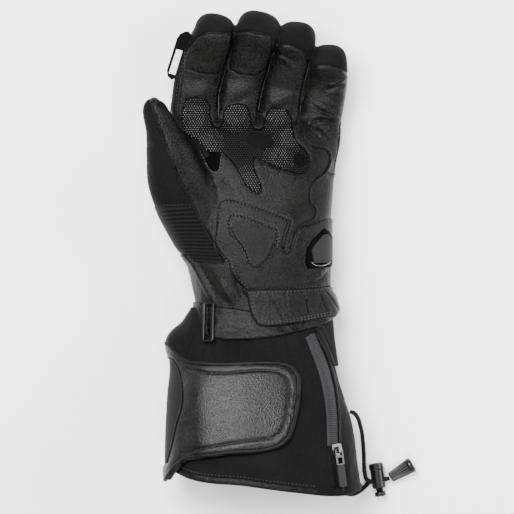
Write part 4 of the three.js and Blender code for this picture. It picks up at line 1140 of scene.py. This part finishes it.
def turned(profile, start, axis, sides, ridges=1):
    # rows of distance along an axis, radius and depth of the ridges, turned about it
    axis = Vector(axis).normalized()
    side = axis.orthogonal().normalized()
    other = axis.cross(side)
    steps = np.array(profile, float)

    def shape(u, v):
        row = v * (len(steps) - 1)
        i = np.clip(np.floor(row).astype(int), 0, len(steps) - 2)
        along, radius, ridge = (steps[i] + (steps[i + 1] - steps[i]) * (row - i)[:, None]).T
        turn = -u * 2 * math.pi
        radius = radius * (1 - ridge * (0.5 - 0.5 * np.cos(turn * ridges)) ** 2)
        return (np.array(start) + along[:, None] * np.array(axis)
                + (radius * np.cos(turn))[:, None] * np.array(side)
                + (radius * np.sin(turn))[:, None] * np.array(other))

    bm = gridMesh(sides, len(steps) - 1, shape, closed=True)
    bmesh.ops.recalc_face_normals(bm, faces=bm.faces)
    return bm


softenLook = {"flat": math.radians(3), "sharp": math.radians(20), "segments": 2}


def softened(node, width):  # a copy of a CAD piece with its edges rounded
    bm = bmesh.new()
    bm.from_mesh(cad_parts[node].data)
    bmesh.ops.scale(bm, vec=(1 / millimetre,) * 3, verts=bm.verts)
    bmesh.ops.translate(bm, vec=-originShift, verts=bm.verts)
    bmesh.ops.remove_doubles(bm, verts=bm.verts, dist=1e-3)
    bmesh.ops.dissolve_limit(bm, angle_limit=softenLook["flat"], verts=bm.verts, edges=bm.edges)
    sharp = [e for e in bm.edges if len(e.link_faces) == 2 and e.calc_face_angle() > softenLook["sharp"]]
    bmesh.ops.bevel(bm, geom=sharp, offset=width, segments=softenLook["segments"], profile=0.5,
                    affect="EDGES", clamp_overlap=True, material=-1)
    return bm


def cutBy(bm, tool):  # one solid less another
    obj = meshObject("whole", bm)
    cutter = meshObject("cutter", tool)
    cut = obj.modifiers.new("cut", "BOOLEAN")
    cut.object = cutter
    cut.solver = "EXACT"
    result = applied(obj)
    bpy.data.objects.remove(cutter)
    return result


print("stage")
makeStage()
print("cords")
lockLook = {
    "start": Vector((85, -145.5, 5.3)), "axis": Vector((3, -19.5, 0)).normalized(), "sides": 40,
    "slotAt": 12.1, "slotSize": (3.7, 20, 7.1), "buttonSides": 36,
}
bellLook = {
    "across": 8.4, "shift": 0.6, "height": 5.2, "heading": 31, "rise": 0.03, "gap": 0.6, "ridges": 16,
    "sides": 128,
}
cordLook = {
    "radius": 1.5, "braidShare": 0.93, "strands": 4, "slope": 2.6, "relief": 0.07, "sides": 24,
    "spacing": 0.4, "routeSpacing": 2.2,
}
lockAxis = lockLook["axis"]
lockSide = Vector((-lockAxis.y, lockAxis.x, 0))
slotMiddle = lockLook["start"] + lockAxis * lockLook["slotAt"]


def slotPoint(across, height):  # in the lock's slot, across it from its axis
    place = slotMiddle + lockSide * across
    return Vector((place.x, place.y, height))


bellTurn = math.radians(bellLook["heading"])
bellAxis = Vector((math.cos(bellTurn), math.sin(bellTurn), bellLook["rise"])).normalized()
bellStart = slotPoint(bellLook["across"], bellLook["height"]) + Vector((0, bellLook["shift"], 0))


def bellFace(height):  # where a cord ends, just short of the bell
    place = bellStart - bellAxis * bellLook["gap"]
    return Vector((place.x, place.y, height))


cordRoutes = {
    "draw_cord_upper": [
        (66.8, -109, 37.5), (69.4, -110, 37.1), (72.2, -113.6, 34), (74, -119, 28.6), (75.4, -125, 21),
        (76.2, -131.5, 14), (76.8, -139, 9.4), (77, -146, 7.6), (77.4, -152, 7.1), (78.8, -156.6, 7),
        slotPoint(-5, 7), slotPoint(0, 7), slotPoint(4.8, 7), bellFace(7),
    ],
    "draw_cord_lower": [
        (62.6, -162.3, 17.8), (63.6, -165, 16.6), (66.6, -166.6, 10.8), (69.8, -166.9, 5.6),
        (72.6, -166, 2.7), (75.6, -164, 1.9), (78.5, -161.2, 2.4),
        slotPoint(-5, 3.5), slotPoint(0, 3.5), slotPoint(4.8, 3.5), bellFace(3.5),
    ],
}


def braidRelief(turn, along):
    strand, slope = turn * cordLook["strands"], along * cordLook["slope"]
    return 1 + cordLook["relief"] * (np.cos(strand + slope) + np.cos(strand - slope))


lockProfile = [  # distance along the axis, radius and ridge depth: a collar, the barrel and the button's bore
    (0, 0.01, 0), (0, 3.2, 0), (0.25, 4.2, 0), (0.9, 5, 0), (4.2, 5, 0), (4.6, 4.7, 0), (5, 4.6, 0),
    (17, 4.6, 0), (17.5, 4.1, 0), (17.5, 2.75, 0), (14.6, 2.7, 0), (14.6, 0.01, 0),
]
buttonProfile = [
    (16.9, 0.01, 0), (16.9, 2.1, 0), (17.2, 2.4, 0), (20, 2.4, 0), (20.1, 3.5, 0), (20.5, 3.9, 0),
    (22.6, 3.9, 0), (23.1, 3.4, 0), (23.2, 2.2, 0), (23.2, 0.01, 0),
]
bellProfile = [
    (0, 0.01, 0), (0, 2.9, 0), (0.3, 3.5, 0.02), (1.2, 3.65, 0.16), (14.2, 5, 0.2), (15.1, 5.15, 0.02),
    (15.2, 5.35, 0), (15.7, 5.5, 0), (17.2, 5.3, 0), (17.9, 4.8, 0), (18.1, 4, 0), (18.1, 0.01, 0),
]


def lockBody():
    slot = bmesh.new()
    place = Matrix.Translation(slotMiddle) @ axesTurn(lockAxis, lockSide, Vector((0, 0, 1)))
    bmesh.ops.create_cube(slot, size=1, matrix=place @ Matrix.Diagonal((*lockLook["slotSize"], 1)))
    return cutBy(turned(lockProfile, lockLook["start"], lockAxis, lockLook["sides"]), slot)


lockButton = turned(buttonProfile, lockLook["start"], lockAxis, lockLook["buttonSides"])
bell = turned(bellProfile, bellStart, bellAxis, bellLook["sides"], bellLook["ridges"])
shades = {name: plainShade(name) for name in plainLooks}
plastic = shades["lockPlastic"]
finishPiece("lock_body", lockBody(), plastic, ["cord_lock"], smooth=False)
finishPiece("lock_press", lockButton, plastic, ["lock_button"], body="lock_button")
finishPiece("cord_bell", bell, plastic, ["cord_end"])
braidCloth = clothShade("braid")
for name, route in cordRoutes.items():
    corners = [tuple(p) for p in route]
    line = smoothLine(corners, cordLook["spacing"])
    radius = cordLook["radius"] * cordLook["braidShare"]
    bm = tube(line, radius, sides=cordLook["sides"], relief=braidRelief)
    cordPiece = finishPiece(name + "_braid", bm, braidCloth, [name])
    routeLine = smoothLine(corners, cordLook["routeSpacing"])

print("skin")
leather = leatherShade("leather")
gripLeather = leatherShade("gripLeather")
glossLeather = leatherShade("glossLeather")
cloth = clothShade("backCloth")
ribbed = clothShade("shadedRibbedCloth")
thread = clothShade("thread")
shadedThread = clothShade("shadedThread")
halfShadedThread = clothShade("halfShadedThread")
skin = sculptSkin(growSkin())
leatherSkin, clothSkin = splitSkin(skin)
print("skin faces", len(skin.faces), len(leatherSkin.faces), len(clothSkin.faces))
stitches = bmesh.new()

print("palm")
# faint is the share of relief and painted highlight that dots keep outside the lobes; the From shares pick
# the half-lit and highlit colours
dotLook = {
    "pitch": 1.7, "wide": 0.58, "high": 1.0, "faint": 0.22, "halfLitFrom": 0.4, "highlitFrom": 0.68,
    "xs": (-52, 42), "ys": (36, 107), "margin": 0.9, "rowShare": math.sqrt(0.75),
}
dotLobes = [  # where the embossing stands highest and the dots take the painted highlight, plan centre and radius
    {"at": (-40, 92), "radius": 11}, {"at": (-42, 82), "radius": 8}, {"at": (-31, 73), "radius": 10},
    {"at": (-11, 93), "radius": 10}, {"at": (16, 93), "radius": 10}, {"at": (25, 77), "radius": 9},
    {"at": (18, 64), "radius": 9}, {"at": (-1, 47), "radius": 10},
]
smoothSpots = [
    {"at": (5.5, 75.4), "size": (9.5, 5.5), "turn": -0.2},
    {"at": (33, 62), "size": (5, 4), "turn": 0},
]


def dotPlaces():  # staggered rows inside the grip's outline, without the smooth spots
    pitch = dotLook["pitch"]
    places = []
    for row, y in enumerate(np.arange(*dotLook["ys"], pitch * dotLook["rowShare"])):
        for x in np.arange(dotLook["xs"][0] + (row % 2) * pitch / 2, dotLook["xs"][1], pitch):
            places.append((x, y))
    places = np.array(places)
    keep = outlineField(outlines["grip"])(places) > dotLook["margin"]
    for spot in smoothSpots:
        offset = places - spot["at"]
        turn = spot["turn"]
        along = offset[:, 0] * math.cos(turn) + offset[:, 1] * math.sin(turn)
        across = offset[:, 1] * math.cos(turn) - offset[:, 0] * math.sin(turn)
        keep &= (along / spot["size"][0]) ** 2 + (across / spot["size"][1]) ** 2 > 1
    return places[keep]


def gripDots(surface):  # embossed dots, in a mesh each for the faint ones in painted shade, the half-lit ones and the ones in painted highlight
    meshes = [bmesh.new(), bmesh.new(), bmesh.new()]
    for x, y in dotPlaces():
        near = max(hump(math.dist(lobe["at"], (x, y)), lobe["radius"]) for lobe in dotLobes)
        share = dotLook["faint"] + (1 - dotLook["faint"]) * near
        found = surface.drop(x, y)
        if found is None:
            continue
        place, normal = found
        wide = dotLook["wide"] * (0.75 + 0.25 * share)
        # the level chooses the dot's colour: painted shade, painted half light or painted highlight
        level = int(share > dotLook["halfLitFrom"]) + int(share > dotLook["highlitFrom"])
        turn = normal.to_track_quat("Z", "Y").to_matrix().to_4x4()
        addPebble(meshes[level], place, turn, (wide, wide, dotLook["high"] * share))
    return meshes


grip = overlay(leatherSkin, "grip", thick=0.75, edge=1.4)
shadedFaintDots, halfLitDots, dots = gripDots(Surface(grip))
gusset = overlay(leatherSkin, "gusset", thick=0.05, edge=0.8)
heel = overlay(leatherSkin, "heel", thick=1.2, edge=1.5, grooves=["insertTop", "wristSeam", "crescent"])
insertEdge = overlay(heel, "insertEdge", thick=0.7, edge=2.2, grooves=["crescent"])
ribLook = {"acrossX": 0.8, "acrossY": 0.6, "pitch": 1.5, "high": 0.24, "sunk": 0.9}


def insertRibs(points):  # slanting fine ribs
    across = points[:, 0] * ribLook["acrossX"] + points[:, 1] * ribLook["acrossY"]
    return ribLook["high"] * np.sin(across * 2 * math.pi / ribLook["pitch"]) - ribLook["sunk"]


insert = overlay(insertEdge, "insert", thick=0.9, edge=1.0, relief=insertRibs, sunk=0.1)
pleatLook = {
    "top": 31, "pitch": 3.1, "closing": 0.0022, "high": 2.2, "round": 0.85, "level": 0.55,
    "slant": 0.06, "slantAt": -45, "slantTo": 14, "fade": (2.5, 8.5), "fadeAt": (-63, 24), "fadeSlope": 0.5,
}


def pleatRelief(points):  # folds across the thumb's root, closer together further down
    look = pleatLook
    x, y = points[:, 0], points[:, 1]
    down = np.clip(look["top"] - y, 0, 50)
    slant = look["slant"] * (x - look["slantAt"]) * (1 - down / look["slantTo"])
    phase = (down + slant) * math.pi * (1 / look["pitch"] + down * look["closing"])
    fade = smoothstep(x - look["fadeAt"][0] + look["fadeSlope"] * (y - look["fadeAt"][1]), *look["fade"])
    return fade * look["high"] * (np.abs(np.sin(phase)) ** look["round"] - look["level"])


joined = joinMeshes(leatherSkin.copy(), clothSkin.copy())
pleats = overlay(joined, "pleats", thick=0.45, edge=1.6, relief=pleatRelief)
indexPad = overlay(leatherSkin, "indexPad", thick=0.55, edge=1.3)
middlePad = overlay(leatherSkin, "middlePad", thick=0.55, edge=1.3)
palmPieces = Surface(leatherSkin, clothSkin, grip, heel, insertEdge, insert, indexPad, middlePad, pleats)
stitchRows = [  # seam path, and the sideways places of its rows
    ("indexBand", (-0.9,)), ("thumbEdge", (0.0,)), ("heelTop", (-1.5, 0.9)), ("heelLeft", (1.5, -0.9)),
    ("heelRight", (1.6,)), ("wristSeam", (-0.8, 1.0)), ("insertTop", (0.9, -0.9)), ("crescent", (0.9, -0.9)),
]
for name, rows in stitchRows:
    for shift in rows:
        stitchRow(stitches, palmPieces, name, shift)
# stitches in the finger gaps and recesses, in thread darkened as painted shade
gapStitches = bmesh.new()
for name, shift in [("insertRing", -0.7), ("pleatTop", 0.0), ("pleatLow", 0.0)]:
    stitchRow(gapStitches, palmPieces, name, shift)
gapEdges = bmesh.new()
gapLook = {  # between the fingers: a row of stitches on one side and a raised leather edge, coloured lighter as a painted highlight
    "stitchTop": 120, "stitchAside": -2.2, "edgeTop": 128, "edgeAside": 0.5, "radius": 0.38, "lift": 0.2,
}
for name in gapLines:
    line = smoothLine(paths[name], stitchLook["spacing"])
    rows = line[line[:, 1] < gapLook["stitchTop"]] + np.array([gapLook["stitchAside"], 0])
    stitchLine(gapStitches, palmPieces.drape(rows))
    edge = line[line[:, 1] < gapLook["edgeTop"]] + np.array([gapLook["edgeAside"], 0])
    joinMeshes(gapEdges, tube([p for p, _ in palmPieces.drape(edge, gapLook["lift"])], gapLook["radius"]))
palmPipings = [  # seam path, lift and radius
    ("pipingLong", 0.35, 0.95), ("pipingEnd", 0.3, 0.9), ("thumbRidge", 0.15, 0.6),
]
piping = joinMeshes(*[pipingOn(palmPieces, *row, spacing=0.7) for row in palmPipings])
finishPiece("glove_leather", leatherSkin, leather, ["palm_leather", "index_palm_side", "middle_palm_side",
            "ring_palm_side", "little_palm_side", "thumb_palm_side"])
finishPiece("glove_cloth", clothSkin, cloth, ["back_cloth", "index_back_side", "middle_back_side",
            "ring_back_side", "little_back_side", "thumb_back_side"])
finishPiece("grip", grip, gripLeather, ["grip_patch"])
# highlit, half-lit and shaded dots: painted light on one embossing
finishPiece("grip_dots", dots, leatherShade("gripDots"))
finishPiece("half_lit_grip_dots", halfLitDots, leatherShade("halfLitDots"))
finishPiece("shaded_faint_grip_dots", shadedFaintDots, leatherShade("shadedFaintDots"))
finishPiece("gusset", gusset, clothShade("shadedGussetCloth"), ["thumb_gusset"])
finishPiece("heel", joinMeshes(heel, insertEdge), leather, ["heel_patch"])
finishPiece("insert", insert, clothShade("insertCloth"), ["heel_insert"])
finishPiece("pleats", pleats, ribbed, ["thumb_pleats"])
finishPiece("index_pad", indexPad, leather, ["index_tip_pad"])
finishPiece("middle_pad", middlePad, leather, ["middle_tip_pad"])
finishPiece("piping", piping, leather)
finishPiece("stitches", stitches, thread)
finishPiece("gap_stitches", gapStitches, shadedThread)
finishPiece("gap_edges", gapEdges, leatherShade("highlitEdgeLeather"))
sliderBand = {"turns": (1.4, -0.05), "ys": (-15, 20), "step": 0.27}
lipLook = {"below": -6.8, "leftOf": 52.6, "shift": 0.3, "lift": 0.5, "radius": 0.4, "spacing": 0.5}


def even(grow):  # the same growth everywhere
    return lambda points: grow + 0 * points[:, 0]


def sliderPiece(outline, grow, thick, edge, floor):
    return pillowed(bandMesh(**sliderBand, grow=even(grow)), outline, thick, edge, sunk=2.0, floor=floor)


sliderFrame = sliderPiece("sliderFrame", grow=0.0, thick=2.1, edge=0.6, floor=17)
sliderFace = sliderPiece("sliderFace", grow=1.2, thick=1.5, edge=0.5, floor=20)
# the lip runs only along the lower left of the face, where its lighter colour is a painted glint
lipLine = smoothLine(outlines["sliderFace"], lipLook["spacing"], closed=True)
lipLine = lipLine[(lipLine[:, 1] < lipLook["below"]) & (lipLine[:, 0] < lipLook["leftOf"])]
lipPairs = Surface(sliderFrame).drape(offsetLine(lipLine, lipLook["shift"]), lipLook["lift"])
sliderGlintLip = tube([p for p, _ in lipPairs], lipLook["radius"])
finishPiece("slider_frame_soft", sliderFrame, shades["frameGloss"], ["slider_frame"])
finishPiece("slider_glint_lip", sliderGlintLip, shades["glintLipGloss"])
finishPiece("slider_face", sliderFace, shades["faceGrey"], ["palm_slider"])
padLook = {"grid": (40, 80), "tabLift": 5.2, "labelLift": 0.9}


def padBetween(outline, level, half, edge):  # a thin pad with rounded edges at a level read from Y
    field = outlineField(outlines[outline])
    low, high = np.min(outlines[outline], axis=0) - 1, np.max(outlines[outline], axis=0) + 1

    def shape(u, v):
        y = low[1] + v * (high[1] - low[1])
        return np.stack([low[0] + u * (high[0] - low[0]), y, level(y)], axis=-1)

    top = keepWhere(gridMesh(*padLook["grid"], shape), field)
    under = top.copy()
    for part, side in ((top, 1), (under, -1)):
        points = readPoints(part)
        points[:, 2] += side * half * rounded(field(points), edge)
        writePoints(part, points)
    bmesh.ops.reverse_faces(under, faces=under.faces)
    joinMeshes(top, under)
    bmesh.ops.remove_doubles(top, verts=top.verts, dist=1e-3)
    return top


def tabLevel(y):
    return smoothRead(digitTable["index"]["y"], digitTable["index"]["z"], y) + padLook["tabLift"]


tab = padBetween("tab", tabLevel, half=0.8, edge=0.8)
tabLabel = padBetween("label", lambda y: tabLevel(y) + padLook["labelLift"], half=0.4, edge=0.4)
finishPiece("finger_tab_soft", tab, shades["webbing"], ["finger_tab"])
finishPiece("tab_label_soft", tabLabel, shades["label"], ["tab_label"])
hardPieces = [  # CAD node, edge rounding, look, body and slot
    ("zip_slider", 0.25, "zipMetal", "root", "zip_metal"),
    ("zip_pull", 0.2, "pullMetal", "zip_pull", "zip_metal"),
    ("pull_tab", 0.3, "rubber", "zip_pull", "slider_plastic"),
]
for node, width, look, body, slot in hardPieces:
    finishPiece(node + "_soft", softened(node, width), shades[look], [node], body, smooth=False)

print("cuff")
hemLine = {
    "x": [-60, -49, -4.1, 32.6, 53, 63.2, 76],
    "y": [-145.5, -151.3, -158.1, -162.9, -165.0, -164.7, -161],
}
hemLook = {
    "readAt": -150, "lower": 0.6, "half": 2.6, "thick": 1.4, "grow": -0.9, "lumps": 0.12, "grid": (330, 14),
    "leatherTo": 44, "stitchAbove": 6.0,
}
cuffLook = {
    "top": -38, "swell": 0.5, "crease": 0.22, "grow": -0.2, "grid": (300, 100),
    "gather": 0.6, "gatherPitch": 9, "gatherSlope": 0.15, "gatherFrom": (-95, -62),
}
cuffBulge = {"at": -57, "long": 18, "high": 17, "from": (28, 46)}  # cloth pushed out towards the thumb
liningLook = {"top": 66, "grow": -3.2, "swell": 0.5, "closeFrom": 0.96, "middle": (2, 24), "grid": (140, 75)}


def hemAt(x):
    return smoothRead(hemLine["x"], hemLine["y"], x)


def roundCuff(u, side):  # turns round the cuff from underneath, and the hem's Y at each
    turn = -math.pi / 2 + side * u * 2 * math.pi
    return turn, hemAt(sectionPoint(turn, hemLook["readAt"])[:, 0])


def cuffGrow(points):
    x, y = points[:, 0], points[:, 1]
    rise = cuffLook["swell"] * softNoise(points, size=42, seed=11)
    rise += cuffLook["crease"] * creased(points, size=16, seed=12)
    phase = 2 * math.pi * (x + cuffLook["gatherSlope"] * y) / cuffLook["gatherPitch"]
    gathered = cuffLook["gather"] * np.sin(phase + softNoise(points, size=20, seed=13))
    bulge = cuffBulge["high"] * hump(y - cuffBulge["at"], cuffBulge["long"])
    return (rise + smoothstep(y, *cuffLook["gatherFrom"]) * gathered + cuffLook["grow"]
            + bulge * smoothstep(-x, *cuffBulge["from"]))


def cuffShape(u, v):
    turn, low = roundCuff(u, -1)
    low = low + hemLook["lower"]
    y = low + v * (cuffLook["top"] - low)
    return sectionPoint(turn, y, cuffGrow(sectionPoint(turn, y)))


def liningShape(u, v):  # a bag inside the cuff and hand, drawn together at its end
    turn, low = roundCuff(u, 1)
    low = low + hemLook["lower"]
    share = liningLook["closeFrom"]
    y = low + np.clip(v / share, 0, 1) * (liningLook["top"] - low)
    grow = liningLook["grow"] + liningLook["swell"] * softNoise(sectionPoint(turn, y), size=24, seed=14)
    closing = np.clip((v - share) / (1 - share), 0, 1)[:, None]
    x, z = liningLook["middle"]
    middle = np.stack([0 * y + x, y, 0 * y + z], axis=-1)
    return sectionPoint(turn, y, grow) * (1 - closing) + middle * closing


def hemShape(u, v):  # a rolled binding round the hem
    turn, low = roundCuff(u, -1)
    part = v * 2 * math.pi
    lumps = hemLook["lumps"] * softNoise(sectionPoint(turn, hemLook["readAt"]), size=5, seed=15)
    y = low + hemLook["half"] * (1 - np.cos(part))
    return sectionPoint(turn, y, hemLook["grow"] + (hemLook["thick"] + lumps) * np.sin(part))


cuff = gridMesh(*cuffLook["grid"], cuffShape, closed=True)
lining = gridMesh(*liningLook["grid"], liningShape, closed=True)
hem = gridMesh(*hemLook["grid"], hemShape, closed=True)
bmesh.ops.recalc_face_normals(hem, faces=hem.faces)
flapBand = {"turns": (math.pi + 0.95, 0.35), "ys": (-158, -62), "table": flapTable}
flapLook = {
    "bend": -1.5, "bendAt": -47, "bendWide": 9, "swell": 0.3, "crease": 0.06, "groove": (1.2, 0.9),
    "floor": 6,
}


def flapGrow(points):
    bend = flapLook["bend"] * hump(points[:, 0] - flapLook["bendAt"], flapLook["bendWide"])
    rise = flapLook["swell"] * softNoise(points, size=38, seed=16)
    rise += flapLook["crease"] * creased(points, size=12, seed=17)
    return bend + rise - grooved(points, ["flapStitch"], *flapLook["groove"])


flap = pillowed(bandMesh(**flapBand, step=0.8, grow=flapGrow), "flap", thick=0.9, edge=6.0,
                floor=flapLook["floor"])
sidePanel = pillowed(bandMesh(**flapBand, step=0.9, grow=even(-1.2)), "sidePanel", thick=0.4, edge=3.0,
                     floor=flapLook["floor"])
onFlap = Surface(bandMesh(**flapBand, step=1.2, grow=flapGrow))


def rolled(seed, amount=0.12):  # slight lumps along a rolled edge
    shift = np.random.default_rng(seed).uniform(0, 6, 3)

    def relief(turn, along):
        return 1 + amount * (np.sin(along / 2.3 + shift[0]) + np.sin(along / 5.1 + turn + shift[1])) / 2

    return relief


flapPiping = pipingOn(onFlap, "flapEdge", lift=-0.4, radius=1.75, relief=rolled(18), sides=12)
leftPiping = pipingOn(onFlap, "flapLeft", lift=0.2, radius=0.8)
wingTurns = {"from": math.pi + 0.26, "to": math.pi - 0.62, "bendAt": math.pi - 0.3, "count": 50}
wingRolls = [  # they thicken the edge of the flap's wing and close it against the cuff; slope is Y per turn
    {"y": -153, "slope": 31, "grow": -2.0, "radius": 1.95},
    {"y": -147.5, "slope": 18, "grow": -2.9, "radius": 2.2},
]
for roll in wingRolls:
    turns = np.linspace(wingTurns["from"], wingTurns["to"], wingTurns["count"])
    levels = roll["y"] + roll["slope"] * np.maximum(0, wingTurns["bendAt"] - turns)
    joinMeshes(flapPiping, tube(sectionPoint(turns, levels, roll["grow"], flapTable), roll["radius"]))
flapStitches = bmesh.new()
stitchRow(flapStitches, Surface(flap), "flapStitch")

print("zip")
onCuff = Surface(cuff)
tapeLook = {"half": 3.7, "lift": 0.9, "coilAt": -1.4, "coilHalf": 1.9, "coilLift": 0.2, "openTo": -131}
tapeAcross = [-3.7, -3.4, -3.35, -2.6, -1.4, -0.2, 0.55, 0.6, 1.6, 2.6, 3.4, 3.7]
toothLook = {"pitch": 1.45, "shift": 0.3, "lift": 0.15, "halves": (3.2, 0.55, 0.5)}
sideRibLook = {"pitch": 3.2, "high": 1.3, "round": 0.8, "grow": 0.9, "turnsDownAt": 44}


def tapeLift(across):
    inCoil = abs(across - tapeLook["coilAt"]) < tapeLook["coilHalf"]
    lift = tapeLook["lift"] * (1 - abs(across / tapeLook["half"]) ** 6)
    return lift + (tapeLook["coilLift"] if inCoil else 0.0)


def ribGrow(points):  # elastic ribs beside the zip, that follow its piping down the cuff's side
    look = sideRibLook
    apart, _ = lineDistance(points, paths["zipPiping"])
    reach = apart + np.maximum(0, look["turnsDownAt"] - points[:, 2])
    wave = np.abs(np.sin(math.pi * reach / look["pitch"])) ** look["round"]
    return look["grow"] + look["high"] * (wave - 0.5)


sideRibBand = bandMesh(turns=(1.2, -0.5), ys=(-80, -45), step=0.5, grow=ribGrow)
sideRibs = pillowed(sideRibBand, "sideRibs", thick=0.4, edge=1.2, sunk=0.6, floor=12)


def zipTeeth():
    bm = bmesh.new()
    middle = offsetLine(smoothLine(paths["zip"], toothLook["pitch"]), toothLook["shift"])
    for place, ahead in zip(middle, middle[1:]):
        if place[1] < tapeLook["openTo"]:
            break
        centre, normal = onCuff.drop(*place, tapeLook["lift"] + toothLook["lift"])
        along = Vector((*(ahead - place), 0))
        along = (along - normal * along.dot(normal)).normalized()
        turn = axesTurn(along.cross(normal), along, normal)
        addPebble(bm, centre, turn, toothLook["halves"], subdivisions=2)
    return bm


zipRibbon = ribbonMesh(onCuff, paths["zip"], tapeAcross, tapeLift, spacing=0.36)
zipPiping = pipingOn(onCuff, "zipPiping", lift=0.6, radius=0.95, relief=rolled(19, 0.06))
seamNames = ("cuffSeamA", "cuffSeamB")
cuffSeams = joinMeshes(*[pipingOn(onCuff, name, lift=0.1, radius=0.6) for name in seamNames])

print("wrist")
strapBand = {"turns": (math.pi + 0.5, -0.3), "ys": (-66, -34), "step": 0.6}
strapLook = {"grow": 0.6, "swell": 0.25, "crease": 0.12}


def strapGrow(points):
    swell = strapLook["swell"] * softNoise(points, size=20, seed=20)
    return strapLook["grow"] + swell + strapLook["crease"] * creased(points, size=9, seed=21)


strap = pillowed(bandMesh(**strapBand, grow=strapGrow), "strap", thick=1.6, edge=1.0)
keeper = pillowed(bandMesh(**strapBand, grow=strapGrow), "keeper", thick=1.6, edge=1.0)
gatherLook = {
    "grow": 0.9, "climb": 2.4, "climbFrom": (23, 33), "flare": 2.6, "flareX": (38, 54), "flareY": (25, 42),
    "swell": 0.06, "lip": 0.2, "lipAt": 1.4, "lipWide": 1.0, "crease": 0.75, "creaseWide": 0.55,
}
gatherCreases = [  # lines where the elastic draws the leather in
    [(11.3, -28.4), (21.7, -47.7)],
    [(8.7, -33.6), (5.2, -46.8)],
    [(21.7, -27.4), (22.8, -39)],
    [(33, -27.4), (36.9, -45.9)],
    [(42.5, -26.2), (47.7, -45.1)],
    [(46.9, -25.9), (53.8, -44.2)],
    [(51.5, -25.9), (59, -38)],
]


def gatherGrow(points):
    look = gatherLook
    x, y = points[:, 0], points[:, 1]
    climb = look["climb"] * smoothstep(-y, *look["climbFrom"])
    flare = look["flare"] * smoothstep(x, *look["flareX"]) * smoothstep(-y, *look["flareY"])
    pull = look["swell"] * softNoise(points, size=14, seed=22)
    for line in gatherCreases:
        apart, share = lineDistance(points, line)
        lip = look["lip"] * hump(apart - look["lipAt"], look["lipWide"])
        pull += foldEnds(share, 0.05, 0.5) * (lip - look["crease"] * hump(apart, look["creaseWide"]))
    return look["grow"] + climb + flare + pull


gatherBand = bandMesh(turns=(math.pi, -0.6), ys=(-58, -20), step=0.55, grow=gatherGrow)
gather = pillowed(gatherBand, "gather", thick=1.3, edge=1.8)
onWrist = Surface(gather, strap, keeper)
wristStitches = bmesh.new()
for name, rows in [("gatherLeft", (0.0, 1.5)), ("gatherTop", (0.0,))]:
    for shift in rows:
        stitchRow(wristStitches, onWrist, name, shift)


def placeOn(x, y, heading, height):  # a frame on the palm side: X across, Y along and Z out of it
    step = 0.5
    slopeX = float(sectionTop(x + step, y) - sectionTop(x - step, y)) / (2 * step)
    slopeY = float(sectionTop(x, y + step) - sectionTop(x, y - step)) / (2 * step)
    out = Vector((-slopeX, -slopeY, 1)).normalized()
    turn = math.radians(heading)
    flat = Vector((-math.sin(turn), math.cos(turn), 0))
    along = (flat - out * flat.dot(out)).normalized()
    frameAt = axesTurn(along.cross(out), along, out)
    frameAt.translation = Vector((x, y, float(sectionTop(x, y)))) + out * height
    return frameAt


def roundedRectangle(wide, long, corner, steps=6):
    points = []
    for i, (sx, sy) in enumerate([(1, 1), (-1, 1), (-1, -1), (1, -1)]):
        for k in range(steps + 1):
            turn = (i + k / steps) * math.pi / 2
            points.append((sx * (wide / 2 - corner) + corner * math.cos(turn),
                           sy * (long / 2 - corner) + corner * math.sin(turn), 0))
    return points


ringLook = {
    "at": (-27.5, -49), "heading": 6, "height": 4.2, "wide": 6.9, "long": 26.3, "corner": 1.3, "bar": 0.95,
}
ringPlace = placeOn(*ringLook["at"], ringLook["heading"], ringLook["height"])
ringCorners = roundedRectangle(ringLook["wide"], ringLook["long"], ringLook["corner"])
ring = tube([ringPlace @ Vector(p) for p in ringCorners], ringLook["bar"], closed=True)

print("finish")
finishPiece("cuff", cuff, cloth, ["gauntlet_cuff"])
finishPiece("lining", lining, clothShade("lining"))
hemCloth = keepWhere(hem.copy(), lambda points: points[:, 0] - hemLook["leatherTo"])
hemLeather = keepWhere(hem, lambda points: hemLook["leatherTo"] - points[:, 0])
finishPiece("hem", hemLeather, leather, ["hem_binding"])
finishPiece("hem_end", hemCloth, cloth)
hemStitches = bmesh.new()
hemXs = np.arange(-50, hemLook["leatherTo"], stitchLook["spacing"])
hemRow = [(x, float(hemAt(x)) + hemLook["stitchAbove"]) for x in hemXs]
stitchLine(hemStitches, onCuff.drape(hemRow, 0.1))
# hem and flap stitches take thread darkened as painted shade
finishPiece("hem_stitches", hemStitches, halfShadedThread)
finishPiece("flap", flap, glossLeather, ["cuff_flap"])
finishPiece("side_panel", sidePanel, clothShade("sideCloth"))
finishPiece("flap_piping", joinMeshes(flapPiping, leftPiping), leather, ["flap_binding"])
finishPiece("flap_stitches", flapStitches, halfShadedThread)
closedZip = keepWhere(zipRibbon.copy(), lambda points: points[:, 1] - tapeLook["openTo"])
zipEnd = keepWhere(zipRibbon, lambda points: tapeLook["openTo"] - points[:, 1])
finishPiece("zip_ribbon", closedZip, clothShade("zipTape"), ["zip_tape", "zip_coil"])
finishPiece("zip_ribbon_end", zipEnd, cloth)
finishPiece("zip_teeth", zipTeeth(), clothShade("zipTeeth"))
finishPiece("side_ribs", sideRibs, ribbed)
finishPiece("zip_piping", zipPiping, leather)
finishPiece("cuff_seams", cuffSeams, cloth)
finishPiece("strap", strap, leatherShade("strapLeather"), ["wrist_strap"])
finishPiece("keeper", keeper, leather, ["strap_keeper"])
finishPiece("gather", gather, leather, ["wrist_gather"])
finishPiece("wrist_stitches", wristStitches, thread)
finishPiece("ring", ring, shades["ringMetal"], ["strap_ring"])
